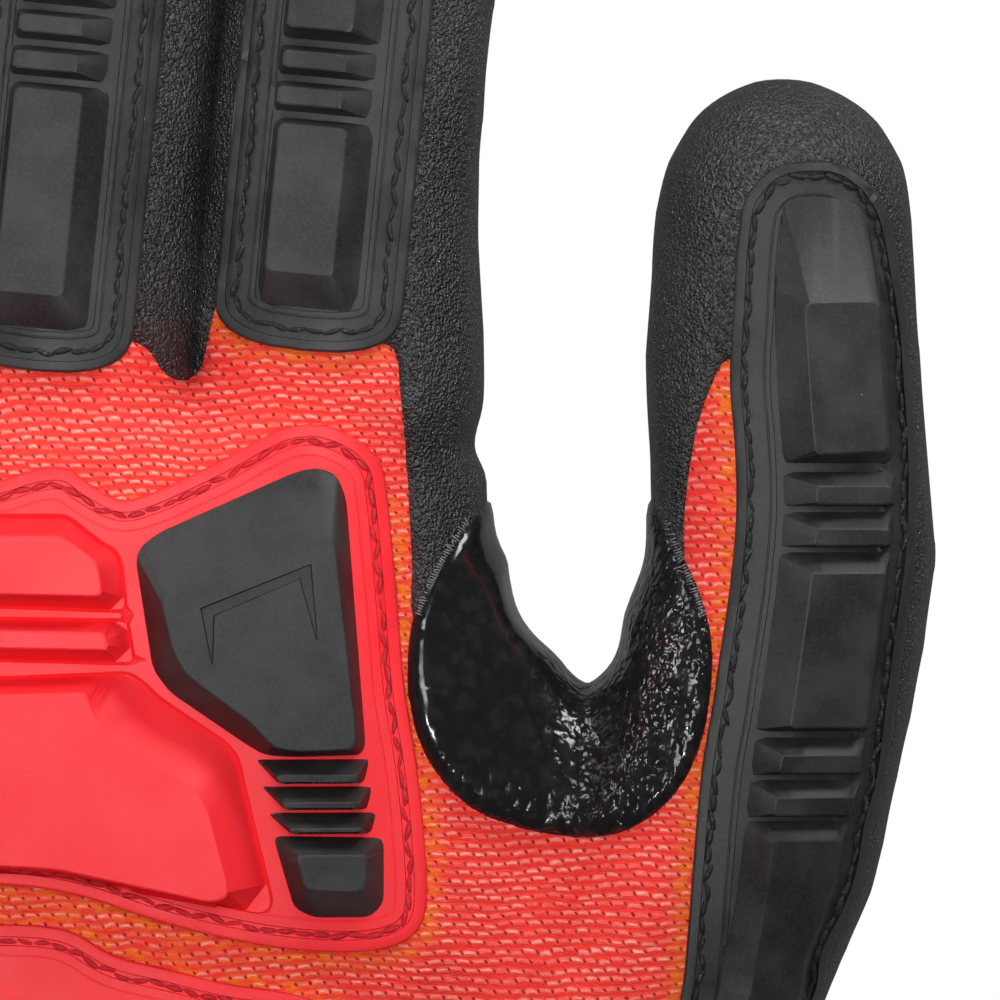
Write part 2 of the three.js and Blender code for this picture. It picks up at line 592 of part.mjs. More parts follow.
function coatSolid(saddle) {
  const window = prism(scaled(WINDOW_OUTLINE), HAND_HEIGHT / 2, CUT_HEIGHT);
  const wrist = WRIST * BACK_LENGTH;
  const [side, end] = [2 * HAND_WIDTH, wrist - 2 * CUFF_LENGTH];
  const cuff = prism([[-side, end], [side, end], [side, wrist], [-side, wrist]], -OVERRUN, CUT_HEIGHT);
  return hand(COAT_TOP).subtract(hand(LAYER_GAP)).subtract(window).subtract(saddle).subtract(cuff);
}

const grownOutline = (outline, gap) => {
  const points = scaled(outline);
  const centre = middleOf(points);
  return points.map(([x, y]) => {
    const reach = Math.hypot(x - centre[0], y - centre[1]);
    const scale = (reach + gap) / reach;
    return [centre[0] + (x - centre[0]) * scale, centre[1] + (y - centre[1]) * scale];
  });
};

function addLayers() {
  const saddleCut = prism(grownOutline(SADDLE_OUTLINE, SADDLE_CLEARANCE), -OVERRUN, CUT_HEIGHT);
  const saddleCore = prism(scaled(SADDLE_OUTLINE), -OVERRUN, CUT_HEIGHT);
  addPiece('knit_liner', hand(0).subtract(hand(-KNIT_WALL)), KNIT);
  addPiece('palm_coat', coatSolid(saddleCut), SANDY);
  addPiece('thumb_saddle', hand(SADDLE_TOP).subtract(hand(LAYER_GAP)).intersect(saddleCore), GLOSSY);
}

function addGuards() {
  addPiece('thumb_guard', guardSolid(thumbStrip(), THUMB_BLOCKS, THUMB_BEVEL), BLACK);
  FINGERS.forEach((finger, i) => {
    const strip = fingerStrip(finger, fingerForms[i]);
    addPiece(`${finger.name}_guard`, guardSolid(strip, FINGER_BLOCKS, BLOCK_BEVEL), BLACK);
  });
}

function addPlate() {
  const foot = PLATE_TOP - PLATE_WALL / 2;
  const rise = PLATE_WALL / 2 + PLATE_BODY_HEIGHT;
  const plate = [[BODY_FOOT, BODY_TOP], [CROWN_FOOT, CROWN_TOP], [BRIDGE_FOOT, BRIDGE_TOP]].reduce(
    (all, [low, high]) => all.add(raised(bothSides(low), bothSides(high), foot, rise)),
    sheet(bothSides(PLATE_OUTLINE), SEAT_GAP, PLATE_TOP),
  );
  addPiece('back_plate', plate.subtract(hand(SEAT_GAP)), RED);
}

function addWristGuard() {
  const rise = PLATE_WALL / 2 + BAR_HEIGHT;
  const bar = (from, to, half) => scaled([
    { x: half, y: from }, { x: half, y: to }, { x: -half, y: to }, { x: -half, y: from }]);
  const guard = WRIST_BARS.reduce((all, { from, to, half }) => {
    const top = bar(from - BAR_BEVEL, to + BAR_BEVEL, half - BAR_BEVEL);
    return all.add(raised(bar(from, to, half), top, PLATE_TOP - PLATE_WALL / 2, rise));
  }, sheet(bothSides(WRIST_GUARD_OUTLINE), SEAT_GAP, PLATE_TOP));
  addPiece('wrist_guard', guard.subtract(hand(SEAT_GAP)), RED);
}

function ribOutline(index, bevel) {
  const { left, right, high, low, lean } = RIB;
  const drop = index * RIB_STEP;
  const aside = index * RIB_SHIFT;
  return scaled([
    { x: left + aside + bevel, y: high - drop - bevel },
    { x: right + aside - bevel, y: high - drop - bevel },
    { x: right + aside - bevel, y: low - drop + bevel },
    { x: left + aside + lean + bevel, y: low - drop + bevel },
  ]);
}

// One side's black pads; turn places an outline on that side
function addPads(side, turn) {
  const pad = (name, foot, top, height) => {
    const solid = raised(turn(foot), turn(top), PAD_UNDERSIDE, height);
    addPiece(`${name}_${side}`, solid.subtract(hand(PAD_UNDERSIDE)), BLACK);
  };
  pad('knuckle_pad', scaled(KNUCKLE_FOOT), scaled(KNUCKLE_TOP), PAD_HEIGHT);
  for (let index = 0; index < RIB_COUNT; index += 1) {
    pad(`rib_${index + 1}`, ribOutline(index, 0), ribOutline(index, RIB.bevel), RIB_HEIGHT);
  }
  pad('tail_pad', scaled(TAIL_FOOT), scaled(TAIL_TOP), PAD_HEIGHT);
}

addLayers();
addGuards();
addPlate();
addWristGuard();
addPads('right', (points) => points);
addPads('left', mirrored);

export default group;
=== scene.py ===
"""Impact glove: its looks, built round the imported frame."""
import math

import bmesh
import bpy
import numpy as np
from bpy.props import FloatProperty, FloatVectorProperty, IntProperty, PointerProperty
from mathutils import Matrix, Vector
from mathutils.bvhtree import BVHTree
from mathutils.geometry import delaunay_2d_cdt


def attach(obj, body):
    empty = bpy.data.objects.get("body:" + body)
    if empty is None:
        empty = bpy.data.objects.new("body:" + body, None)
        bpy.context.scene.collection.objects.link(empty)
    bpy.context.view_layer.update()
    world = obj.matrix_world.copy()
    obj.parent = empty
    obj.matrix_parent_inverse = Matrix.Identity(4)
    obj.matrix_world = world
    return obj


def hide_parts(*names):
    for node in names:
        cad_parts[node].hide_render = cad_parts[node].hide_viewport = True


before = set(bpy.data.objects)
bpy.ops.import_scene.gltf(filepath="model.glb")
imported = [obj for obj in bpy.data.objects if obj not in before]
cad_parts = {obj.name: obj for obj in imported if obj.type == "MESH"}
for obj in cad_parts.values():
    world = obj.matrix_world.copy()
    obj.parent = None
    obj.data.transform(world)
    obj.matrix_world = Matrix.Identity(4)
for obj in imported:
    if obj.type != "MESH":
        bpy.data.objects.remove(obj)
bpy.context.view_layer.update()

bl_info = {
    "name": "Impact glove",
    "version": (1, 0, 0),
    "blender": (4, 5, 0),
    "location": "3D View > Sidebar > Glove",
    "description": "Builds the knit, dipped coat and moulded guards of a work glove",
    "category": "Object",
}

MM = 0.001
BACK = 100.0
SEED = 7

# Outlines seen from above, as shares of the back's length and of the hand's width
WINDOW = [
    (0.41, 0.465), (0.402, 0.506), (0.36, 0.512), (0.30, 0.52), (0.24, 0.556), (0.23, 0.553), (0.219, 0.513),
    (0.212, 0.488), (0.201, 0.4755), (0.188, 0.474), (0.174, 0.482), (0.16, 0.502), (0.146, 0.512),
    (0.05, 0.52), (-0.045, 0.51), (-0.08, 0.46), (-0.12, 0.5), (-0.22, 0.5), (-0.3, 0.48), (-0.34, 0.43), (-0.39, 0.45), (-0.46, 0.44),
    (-0.505, 0.39), (-0.515, 0.3), (-0.51, 0.1), (-0.49, -0.15), (-0.45, -0.4), (-0.41, -0.56),
    (-0.4, -0.9), (0.46, -0.9), (0.5, -0.62), (0.62, -0.4), (0.72, -0.2), (0.77, 0.0), (0.79, 0.2),
    (0.79, 0.38), (0.762, 0.47), (0.737, 0.495), (0.722, 0.47), (0.708, 0.43), (0.699, 0.38),
    (0.694, 0.33), (0.697, 0.28), (0.71, 0.22), (0.68, 0.1), (0.6, 0.08), (0.5, 0.12), (0.46, 0.2),
    (0.424, 0.235), (0.422, 0.29), (0.418, 0.36), (0.414, 0.42),
]
SADDLE = [
    (0.56, 0.45), (0.50, 0.375), (0.483, 0.348), (0.462, 0.318), (0.44, 0.28), (0.424, 0.24),
    (0.418, 0.2), (0.42, 0.15), (0.437, 0.098), (0.478, 0.05), (0.53, 0.028), (0.58, 0.019),
    (0.62, 0.021), (0.655, 0.036), (0.69, 0.07), (0.711, 0.115), (0.72, 0.165), (0.721, 0.215),
    (0.71, 0.26), (0.695, 0.295), (0.678, 0.335), (0.664, 0.375), (0.64, 0.43),
]
PLATE = [
    (0.0, 0.372), (0.05, 0.385), (0.08, 0.386), (0.104, 0.37), (0.135, 0.355), (0.158, 0.36),
    (0.204, 0.38), (0.242, 0.399), (0.27, 0.415), (0.3, 0.428), (0.33, 0.43), (0.356, 0.422),
    (0.378, 0.408), (0.392, 0.39), (0.397, 0.365), (0.4, 0.34), (0.407, 0.264), (0.415, 0.168),
    (0.427, 0.091), (0.435, 0.015), (0.437, -0.042), (0.433, -0.065), (0.42, -0.081), (0.4, -0.09),
    (0.37, -0.0945), (0.31, -0.092), (0.24, -0.081), (0.16, -0.06), (0.1, -0.04), (0.05, -0.03),
    (0.0, -0.027),
]
WRIST_GUARD = [
    (0.0, -0.066), (0.08, -0.072), (0.127, -0.097), (0.185, -0.112), (0.242, -0.126), (0.29, -0.133),
    (0.325, -0.143), (0.345, -0.165), (0.345, -0.3), (0.325, -0.355), (0.28, -0.385), (0.14, -0.4),
    (0.0, -0.404),
]
BODY_FOOT = [
    (0.0, 0.176), (0.142, 0.182), (0.156, 0.172), (0.17, 0.158), (0.238, 0.112), (0.249, 0.098),
    (0.255, 0.069), (0.282, -0.042), (0.28, -0.052), (0.27, -0.055), (0.242, -0.049), (0.146, -0.031),
    (0.07, -0.016), (0.0, -0.012),
]
BODY_TOP = [
    (0.0, 0.162), (0.1, 0.165), (0.108, 0.142), (0.127, 0.117), (0.185, 0.085), (0.208, 0.069),
    (0.221, 0.05), (0.2405, -0.024), (0.241, -0.034), (0.238, -0.04), (0.223, -0.044), (0.14, -0.026),
    (0.07, -0.011), (0.0, -0.007),
]
CROWN_FOOT = [
    (0.0, 0.338), (0.08, 0.338), (0.114, 0.311), (0.129, 0.303), (0.133, 0.29), (0.138, 0.246), (0.0, 0.251),
]
CROWN_TOP = [
    (0.0, 0.32), (0.075, 0.32), (0.1, 0.302), (0.11, 0.295), (0.113, 0.285), (0.117, 0.259), (0.0, 0.262),
]
BRIDGE_FOOT = [(0.0, 0.236), (0.139, 0.234), (0.146, 0.194), (0.0, 0.198)]
BRIDGE_TOP = [(0.0, 0.226), (0.118, 0.224), (0.123, 0.206), (0.0, 0.208)]
KNUCKLE_FOOT = [
    (0.148, 0.296), (0.153, 0.309), (0.171, 0.323), (0.308, 0.384), (0.33, 0.388), (0.349, 0.38),
    (0.358, 0.355), (0.377, 0.111), (0.372, 0.101), (0.308, 0.099), (0.276, 0.101), (0.255, 0.114),
    (0.182, 0.164), (0.165, 0.187),
]
KNUCKLE_TOP = [
    (0.175, 0.252), (0.178, 0.258), (0.19, 0.262), (0.325, 0.318), (0.335, 0.321), (0.343, 0.32),
    (0.347, 0.31), (0.369, 0.117), (0.364, 0.107), (0.308, 0.105), (0.285, 0.109), (0.265, 0.132),
    (0.197, 0.183), (0.184, 0.21),
]
# The engraved bracket: its outer corners from the left tip to the right tip, then its inner corners
BRACKET_OUTER = [(0.2256, 0.182), (0.213, 0.248), (0.323, 0.292), (0.3305, 0.205)]
BRACKET_INNER = [(0.311, 0.277), (0.307, 0.2745), (0.2275, 0.240)]
TAIL_FOOT = [
    (0.284, 0.022), (0.395, 0.02), (0.395, -0.046), (0.381, -0.06), (0.324, -0.06), (0.305, -0.05),
]
TAIL_TOP = [
    (0.308, 0.003), (0.379, 0.003), (0.377, -0.03), (0.37, -0.035), (0.322, -0.033), (0.316, -0.029),
]
RIBS = [
    {"left": 0.266, "right": 0.381, "high": 0.098, "low": 0.073},
    {"left": 0.272, "right": 0.384, "high": 0.071, "low": 0.047},
    {"left": 0.278, "right": 0.388, "high": 0.045, "low": 0.023},
]
RIB_LEAN = 0.024

# Blocks along a finger guard: "from" and "to" in mm, measured from the place that "near" and "far" name,
# sides in mm from the axis, then how far the flat top stands back (near, far, left, right)
FINGER_BLOCKS = [
    {"near": "foot", "from": 4.3, "far": "knuckle", "to": -0.65, "left": -5.2, "right": 4.8,
     "tops": (3.2, 0.65, 0.55, 2.6), "rise": 3.0, "round": 1.3},
    {"near": "knuckle", "from": 0.0, "far": "knuckle", "to": 3.0, "left": -5.4, "right": 4.3,
     "tops": (0.6, 0.6, 0.3, 2.9), "rise": 2.5, "round": 0.5},
    {"near": "knuckle", "from": 3.65, "far": "knuckle", "to": 6.6, "left": -5.3, "right": 4.4,
     "tops": (0.65, 0.55, 0.4, 2.9), "rise": 2.5, "round": 0.5},
    {"near": "knuckle", "from": 7.3, "far": "tip", "to": -15.2, "left": -5.2, "right": 4.6,
     "tops": (1.05, 1.0, 0.35, 2.8), "rise": 3.0, "round": 0.7},
    {"near": "tip", "from": -14.5, "far": "tip", "to": -11.5, "left": -5.1, "right": 4.5,
     "tops": (0.6, 0.6, 0.4, 2.7), "rise": 2.5, "round": 0.5},
    {"near": "tip", "from": -10.8, "far": "tip", "to": -3.6, "left": -4.6, "right": 4.2,
     "tops": (0.8, 2.8, 0.6, 2.2), "rise": 2.6, "round": 1.6},
]
# Each finger guard: heading towards the thumb in degrees, its mirror sense, its lower end's middle in mm,
# and where along it the finger's joint lies
FINGER_GUARDS = [
    {"name": "index_guard", "heading": 5.5, "turn": 1, "foot": (31.5, 50.3), "length": 58.6, "width": 18.9,
     "knuckle": 23.7},
    {"name": "middle_guard", "heading": 5.5, "turn": 1, "foot": (4.7, 48.3), "length": 63.8, "width": 18.9,
     "knuckle": 29.3},
    {"name": "ring_guard", "heading": 0.5, "turn": -1, "foot": (-21.6, 47.0), "length": 59.3, "width": 18.0,
     "knuckle": 25.5},
    {"name": "little_guard", "heading": -6.0, "turn": -1, "foot": (-46.6, 42.0), "length": 49.6, "width": 16.4,
     "knuckle": 19.5},
]
# The thumb guard's two sides from the tip down, as shares of the back's length
THUMB_LEFT = [
    (0.796, 0.6913), (0.778, 0.683), (0.762, 0.667), (0.754, 0.654), (0.7497, 0.635), (0.745, 0.59), (0.743, 0.55),
    (0.739, 0.474), (0.744, 0.405), (0.745, 0.34), (0.738, 0.264), (0.727, 0.191), (0.721, 0.149), (0.711, 0.091),
    (0.702, -0.004), (0.696, -0.081), (0.691, -0.13), (0.672, -0.2), (0.638, -0.26), (0.65, -0.275),
]
THUMB_RIGHT = [
    (0.844, 0.693), (0.862, 0.6856), (0.88, 0.671), (0.8926, 0.654), (0.9005, 0.6354), (0.9115, 0.5785),
    (0.919, 0.535), (0.9235, 0.474), (0.927, 0.42), (0.928, 0.37), (0.925, 0.302), (0.915, 0.225),
    (0.905, 0.149), (0.895, 0.072), (0.884, 0.034), (0.874, -0.023), (0.859, -0.062), (0.84, -0.1), (0.836, -0.134),
    (0.81, -0.19), (0.755, -0.262), (0.735, -0.275),
]
TIP_FOOT = [
    (0.799, 0.6555), (0.793, 0.649), (0.791, 0.633), (0.7885, 0.606), (0.7845, 0.567), (0.7838, 0.522), (0.787, 0.455),
    (0.7915, 0.394), (0.796, 0.3915), (0.898, 0.3915), (0.901, 0.397), (0.899, 0.453), (0.895, 0.545),
    (0.891, 0.572), (0.876, 0.633), (0.87, 0.648), (0.858, 0.6555),
]
TIP_TOP = [
    (0.815, 0.552), (0.813, 0.543), (0.819, 0.445), (0.823, 0.403), (0.826, 0.4), (0.896, 0.403), (0.898, 0.407),
    (0.894, 0.453), (0.889, 0.55), (0.886, 0.554),
]
# Which corner of the tip's foot each ridge joins to which corner of its top
TIP_RIDGES = [(0, 0), (1, 0), (3, 0), (-1, -1), (-2, -1), (7, 3), (8, 4), (9, 5), (10, 6), (-3, -2)]
# Lower blocks of the thumb guard: ends in mm up the glove, sides as shares between the guard's sides
THUMB_BLOCKS = [
    {"from": 38.3, "to": 34.9, "left": 0.26, "right": 0.87, "tops": (1.35, 0.15, 3.2, 0.3), "rise": 2.6, "round": 0.4},
    {"from": 34.3, "to": 30.8, "left": 0.26, "right": 0.865, "tops": (1.6, 0.15, 3.2, 0.3), "rise": 2.7, "round": 0.4},
    {"from": 30.3, "to": 12.5, "left": 0.255, "right": 0.86, "tops": (2.0, 0.35, 3.3, 0.3), "rise": 2.9, "round": 0.4},
    {"from": 11.9, "to": 8.2, "left": 0.26, "right": 0.86, "tops": (1.7, 0.15, 2.8, 0.3), "rise": 2.6, "round": 0.4},
    {"from": 7.7, "to": 4.0, "left": 0.265, "right": 0.86, "tops": (1.7, 0.15, 2.7, 0.3), "rise": 2.6, "round": 0.4},
    {"from": 3.6, "to": -21.5, "left": 0.27, "right": 0.85, "tops": (1.9, 2.5, 2.9, 0.4), "rise": 2.9, "round": 0.8},
]
WRIST_BARS = [
    {"high": -0.165, "low": -0.215, "half": 0.26},
    {"high": -0.235, "low": -0.285, "half": 0.26},
    {"high": -0.305, "low": -0.35, "half": 0.22},
]

# Height of a moulding over the skin against the distance from its edge, in mm
GUARD_PROFILE = [
    (0.0, -0.3), (0.03, 1.4), (0.1, 1.68), (0.25, 1.8), (0.4, 1.82), (1.04, 1.82), (1.12, 1.42), (3.3, 1.42),
    (3.38, 1.6), (3.46, 1.6), (3.54, 1.5), (3.95, 1.5), (4.03, 1.35),
]
PLATE_PROFILE = [
    (0.0, -0.3), (0.03, 1.15), (0.12, 1.42), (0.3, 1.5), (1.18, 1.5), (1.26, 1.05), (2.05, 1.05), (2.15, 1.42),
    (3.0, 1.42), (3.05, 1.32), (3.15, 1.32), (3.2, 1.38),
]
FINGER_SEAM = 2.05
THUMB_SEAM = 1.5
PLATE_SEAM = 1.66
EDGE_SOFTNESS = 0.16
EDGE_DROP = 0.1
CONTOUR_STEP = 0.6
FILL_STEP = 1.3
SHARP = 24
KNIT_LIFT = 0.35
GUARD_CHANNEL = 1.55
STITCH_ROW = 0.9
STITCH_WIDTH = 1.4
PLATE_CHANNEL = 1.15
# The line in mm along which forefinger and middle finger touch, and how far each is pushed to it
VALLEY_Y = (48.5, 60.5, 84.5, 112.0)
VALLEY_X = (19.6, 21.6, 23.9, 26.4)
VALLEY_PUSH = 1.9
VALLEY_REACH = 7.0
FLOOR_GLOSS = 0.22
# How far along the glove in mm the saddle's rim is frayed
RIM_FROM, RIM_TO = 24.0, 33.5
INSIDE_END = -60.0
# Round openings in mm that widen the crotch: centre, radius, and how far the skin gives way
CROTCH = [((57.0, 26.0), 3.9, 7.5), ((60.4, 20.5), 1.9, 5.5)]


class GloveSizes(bpy.types.PropertyGroup):
    """Sizes that change how finely and how thickly the glove is built"""
    voxel: FloatProperty(name="Skin fineness", description="Spacing of the skin's points", default=1.15 * MM,
                         unit="LENGTH")
    smoothing: IntProperty(name="Skin smoothing", description="Rounds of smoothing of the skin", default=24)
    coat: FloatProperty(name="Coat", description="Height of the dipped coat over the knit", default=0.7 * MM,
                        unit="LENGTH")
    saddle: FloatProperty(name="Saddle", description="Height of the smooth saddle over the knit",
                          default=1.25 * MM, unit="LENGTH")
    liner: FloatProperty(name="Liner", description="Thickness of the knit", default=1.6 * MM, unit="LENGTH")
    plate_rise: FloatProperty(name="Plate body", description="Rise of the plate's centre", default=3.6 * MM,
                              unit="LENGTH")
    pad_rise: FloatProperty(name="Knuckle pad", description="Rise of the black pads", default=4.2 * MM,
                            unit="LENGTH")
    thread: FloatProperty(name="Thread", description="Thickness of the sewing thread", default=0.55 * MM,
                          unit="LENGTH")
    stitch: FloatProperty(name="Stitch", description="Length of one stitch", default=1.75 * MM, unit="LENGTH")


def colour(name, description, default):
    return FloatVectorProperty(name=name, description=description, default=default, size=3, subtype="COLOR",
                               min=0.0, max=1.0)


class GloveColours(bpy.types.PropertyGroup):
    """Colours of the glove's materials"""
    knit: colour("Knit", "Main yarn", (0.93, 0.043, 0.03))
    knit_deep: colour("Knit gaps", "Shade between the stitches", (0.3, 0.008, 0.012))
    fleck: colour("Flecks", "Pale fibres in the yarn", (1.0, 0.48, 0.4))
    accent: colour("Accent yarn", "Orange yarn at the seams", (0.9, 0.16, 0.012))
    coat: colour("Coat", "Sandy coat", (0.008, 0.0085, 0.009))
    saddle: colour("Saddle", "Smooth saddle", (0.008, 0.008, 0.0085))
    black: colour("Black guard", "Black moulded rubber", (0.012, 0.0115, 0.0118))
    red: colour("Red guard", "Red moulded rubber", (0.84, 0.0145, 0.026))
    red_worn: colour("Red guard, worn", "Paler red where it is rubbed", (0.86, 0.03, 0.035))
    red_thread: colour("Red thread", "Sewing thread of the red guards", (0.5, 0.008, 0.02))
    rim: colour("Rim fibres", "Frayed fibres at the saddle's rim", (0.16, 0.16, 0.165))
    floor: colour("Floor", "Studio floor", (0.5, 0.5, 0.5))


# Outlines
def scaled(outline, scale=BACK):
    return np.array(outline, float) * scale


def mirrored(points):
    return points[::-1] * np.array([-1.0, 1.0])


def both_sides(outline):
    right = scaled(outline)
    return np.vstack([right, mirrored(right[1:-1])])


def area_of(points):
    x, y = points.T
    return 0.5 * float(np.sum(x * np.roll(y, -1) - np.roll(x, -1) * y))


def resampled(points, step):
    """A closed outline with even spacing."""
    loop = np.vstack([points, points[:1]])
    length = np.r_[0.0, np.cumsum(np.linalg.norm(np.diff(loop, axis=0), axis=1))]
    count = max(8, int(round(length[-1] / step)))
    at = np.arange(count) * length[-1] / count
    return np.column_stack([np.interp(at, length, loop[:, axis]) for axis in (0, 1)])


def rounded(points, radius):
    """The outline with each corner replaced by an arc-like curve."""
    result = []
    count = len(points)
    for i in range(count):
        here, before, after = points[i], points[i - 1], points[(i + 1) % count]
        to_before, to_after = before - here, after - here
        reach = min(radius, 0.45 * np.linalg.norm(to_before), 0.45 * np.linalg.norm(to_after))
        start = here + to_before / np.linalg.norm(to_before) * reach
        end = here + to_after / np.linalg.norm(to_after) * reach
        for t in (0.0, 0.25, 0.5, 0.75, 1.0):
            result.append((1 - t) ** 2 * start + 2 * t * (1 - t) * here + t ** 2 * end)
    return np.array(result)


def between(a, b, start, end, t):
    return ((end - t) * a + (t - start) * b) / (end - start)


def curve(points, step=0.5, pieces=8):
    """A smooth closed curve through the points, evenly spaced."""
    result = []
    count = len(points)
    for i in range(count):
        p0, p1, p2, p3 = (points[(i + k - 1) % count] for k in range(4))
        t0 = 0.0
        t1 = t0 + math.sqrt(np.linalg.norm(p1 - p0) + 1e-9)
        t2 = t1 + math.sqrt(np.linalg.norm(p2 - p1) + 1e-9)
        t3 = t2 + math.sqrt(np.linalg.norm(p3 - p2) + 1e-9)
        for t in np.linspace(t1, t2, pieces, endpoint=False):
            first = between(between(p0, p1, t0, t1, t), between(p1, p2, t1, t2, t), t0, t2, t)
            second = between(between(p1, p2, t1, t2, t), between(p2, p3, t2, t3, t), t1, t3, t)
            result.append(between(first, second, t1, t2, t))
    return resampled(np.array(result), step)


def signed_distance(points, outline, chunk=800):
    """Distance of points from the outline, positive inside, and the nearest place on it."""
    ax, ay = outline.T
    ex, ey = (np.roll(outline, -1, axis=0) - outline).T
    length2 = np.maximum(ex * ex + ey * ey, 1e-12)
    slope = ex / np.where(np.abs(ey) < 1e-12, 1e-12, ey)
    distances, nearest = np.empty(len(points)), np.empty((len(points), 2))
    for start in range(0, len(points), chunk):
        part = points[start:start + chunk]
        to_x, to_y = part[:, :1] - ax, part[:, 1:] - ay
        share = np.clip((to_x * ex + to_y * ey) / length2, 0, 1)
        gap_x, gap_y = to_x - share * ex, to_y - share * ey
        gap2 = gap_x * gap_x + gap_y * gap_y
        pick = gap2.argmin(1)
        rows = np.arange(len(part))
        crosses = (to_y < 0) != (to_y < ey)
        inside = np.count_nonzero(crosses & (to_x < to_y * slope), axis=1) % 2 == 1
        distances[start:start + chunk] = np.sqrt(gap2[rows, pick]) * np.where(inside, 1, -1)
        nearest[start:start + chunk, 0] = part[:, 0] - gap_x[rows, pick]
        nearest[start:start + chunk, 1] = part[:, 1] - gap_y[rows, pick]
    return distances, nearest


def inset(outline, distance, step=CONTOUR_STEP):
    """The outline moved inwards by a distance, in small moves so that corners stay clean."""
    points = resampled(outline, step)
    moves = max(1, int(math.ceil(abs(distance) / 0.25)))
    centre_push = 1e-3 if distance > 0 else -1e-3
    for move in range(1, moves + 1):
        goal = distance * move / moves
        tangent = np.roll(points, -1, axis=0) - np.roll(points, 1, axis=0)
        normal = np.column_stack([-tangent[:, 1], tangent[:, 0]]) * np.sign(area_of(points))
        normal /= np.maximum(np.linalg.norm(normal, axis=1, keepdims=True), 1e-9)
        points = points + normal * (distance / moves + centre_push)
        gap, nearest = signed_distance(points, outline)
        away = (points - nearest) / np.maximum(np.abs(gap), 1e-9)[:, None] * np.sign(gap * goal)[:, None]
        points = resampled(nearest + away * abs(goal), step)
    return points


def fill_points(inner, keep_off, step):
    """A staggered grid of places inside an outline and clear of others."""
    low, high = inner.min(0), inner.max(0)
    rows = np.arange(low[1], high[1], step * 0.866)
    points = [
        np.column_stack([np.arange(low[0] + (i % 2) * step / 2, high[0], step), np.full(1, y).repeat(
            len(np.arange(low[0] + (i % 2) * step / 2, high[0], step)))])
        for i, y in enumerate(rows)
    ]
    points = np.vstack(points)
    points = points[signed_distance(points, inner)[0] > 0.45 * step]
    for outline in keep_off:
        if len(points):
            points = points[signed_distance(points, outline)[0] < -0.45 * step]
    return points


# The skin that everything lies on
class Skin:
    """Outer face of the liner, smooth, with heights by ray."""

    def __init__(self, vertices, faces):
        self.vertices = vertices
        self.faces = faces
        self.tree = BVHTree.FromPolygons([tuple(v) for v in vertices], [tuple(f) for f in faces])

    def top(self, points):
        """Height and upright share of the normal over each place."""
        result = np.empty((len(points), 2))
        for i, (x, y) in enumerate(points):
            hit, normal, _, _ = self.tree.ray_cast(Vector((x, y, 100.0)), Vector((0, 0, -1)))
            if hit is None:
                hit, normal, _, _ = self.tree.find_nearest(Vector((x, y, 18.0)))
            result[i] = hit.z, abs(normal.z)
        return result


def neighbours(count, faces):
    edges = set()
    for face in faces:
        for a, b in zip(face, face[1:] + face[:1]):
            edges.add((a, b) if a < b else (b, a))
    pairs = np.array(sorted(edges))
    degree = np.bincount(pairs.ravel(), minlength=count).astype(float)
    return pairs, np.maximum(degree, 1)


def averaged(values, pairs, degree, rounds, strength=0.5):
    values = values.copy()
    for _ in range(rounds):
        for axis in range(values.shape[1]):
            column = values[:, axis]
            total = np.bincount(pairs[:, 0], column[pairs[:, 1]], len(values))
            total += np.bincount(pairs[:, 1], column[pairs[:, 0]], len(values))
            values[:, axis] += strength * (total / degree - column)
    return values


def smoothed(vertices, faces, rounds):
    """Smooths without shrinking: what a pass pulled in evenly is given back, twice."""
    pairs, degree = neighbours(len(vertices), faces)
    soft = averaged(vertices, pairs, degree, rounds)
    for _ in range(2):
        soft = soft + averaged(vertices - soft, pairs, degree, rounds)
    return soft


def outer_island(node):
    """The outer face of a hollow CAD node, closed where its rim was."""
    mesh = bmesh.new()
    mesh.from_mesh(node.data)
    bmesh.ops.remove_doubles(mesh, verts=mesh.verts, dist=1e-6)
    end = min(v.co.y for v in mesh.verts)
    rim = [f for f in mesh.faces if all(v.co.y < end + 1e-4 for v in f.verts)]
    bmesh.ops.delete(mesh, geom=rim, context="FACES")
    todo, islands = set(mesh.verts), []
    while todo:
        stack, island = [todo.pop()], []
        while stack:
            vertex = stack.pop()
            island.append(vertex)
            for edge in vertex.link_edges:
                other = edge.other_vert(vertex)
                if other in todo:
                    todo.remove(other)
                    stack.append(other)
        islands.append(island)
    span = [max(v.co.x for v in island) - min(v.co.x for v in island) for island in islands]
    keep = islands[int(np.argmax(span))]
    others = [v for island in islands if island is not keep for v in island]
    bmesh.ops.delete(mesh, geom=others, context="VERTS")
    bmesh.ops.holes_fill(mesh, edges=[e for e in mesh.edges if e.is_boundary], sides=0)
    data = bpy.data.meshes.new("island")
    mesh.to_mesh(data)
    mesh.free()
    return data


def remeshed(data, voxel):
    """Vertices in mm and faces of an even remesh."""
    piece = bpy.data.objects.new("island", data)
    bpy.context.scene.collection.objects.link(piece)
    modifier = piece.modifiers.new("even", "REMESH")
    modifier.mode = "VOXEL"
    modifier.voxel_size = voxel
    evaluated = piece.evaluated_get(bpy.context.evaluated_depsgraph_get())
    mesh = evaluated.to_mesh()
    vertices = np.empty(len(mesh.vertices) * 3)
    mesh.vertices.foreach_get("co", vertices)
    faces = [list(p.vertices) for p in mesh.polygons]
    evaluated.to_mesh_clear()
    bpy.data.objects.remove(piece)
    return vertices.reshape(-1, 3) / MM, faces


_skin = {}


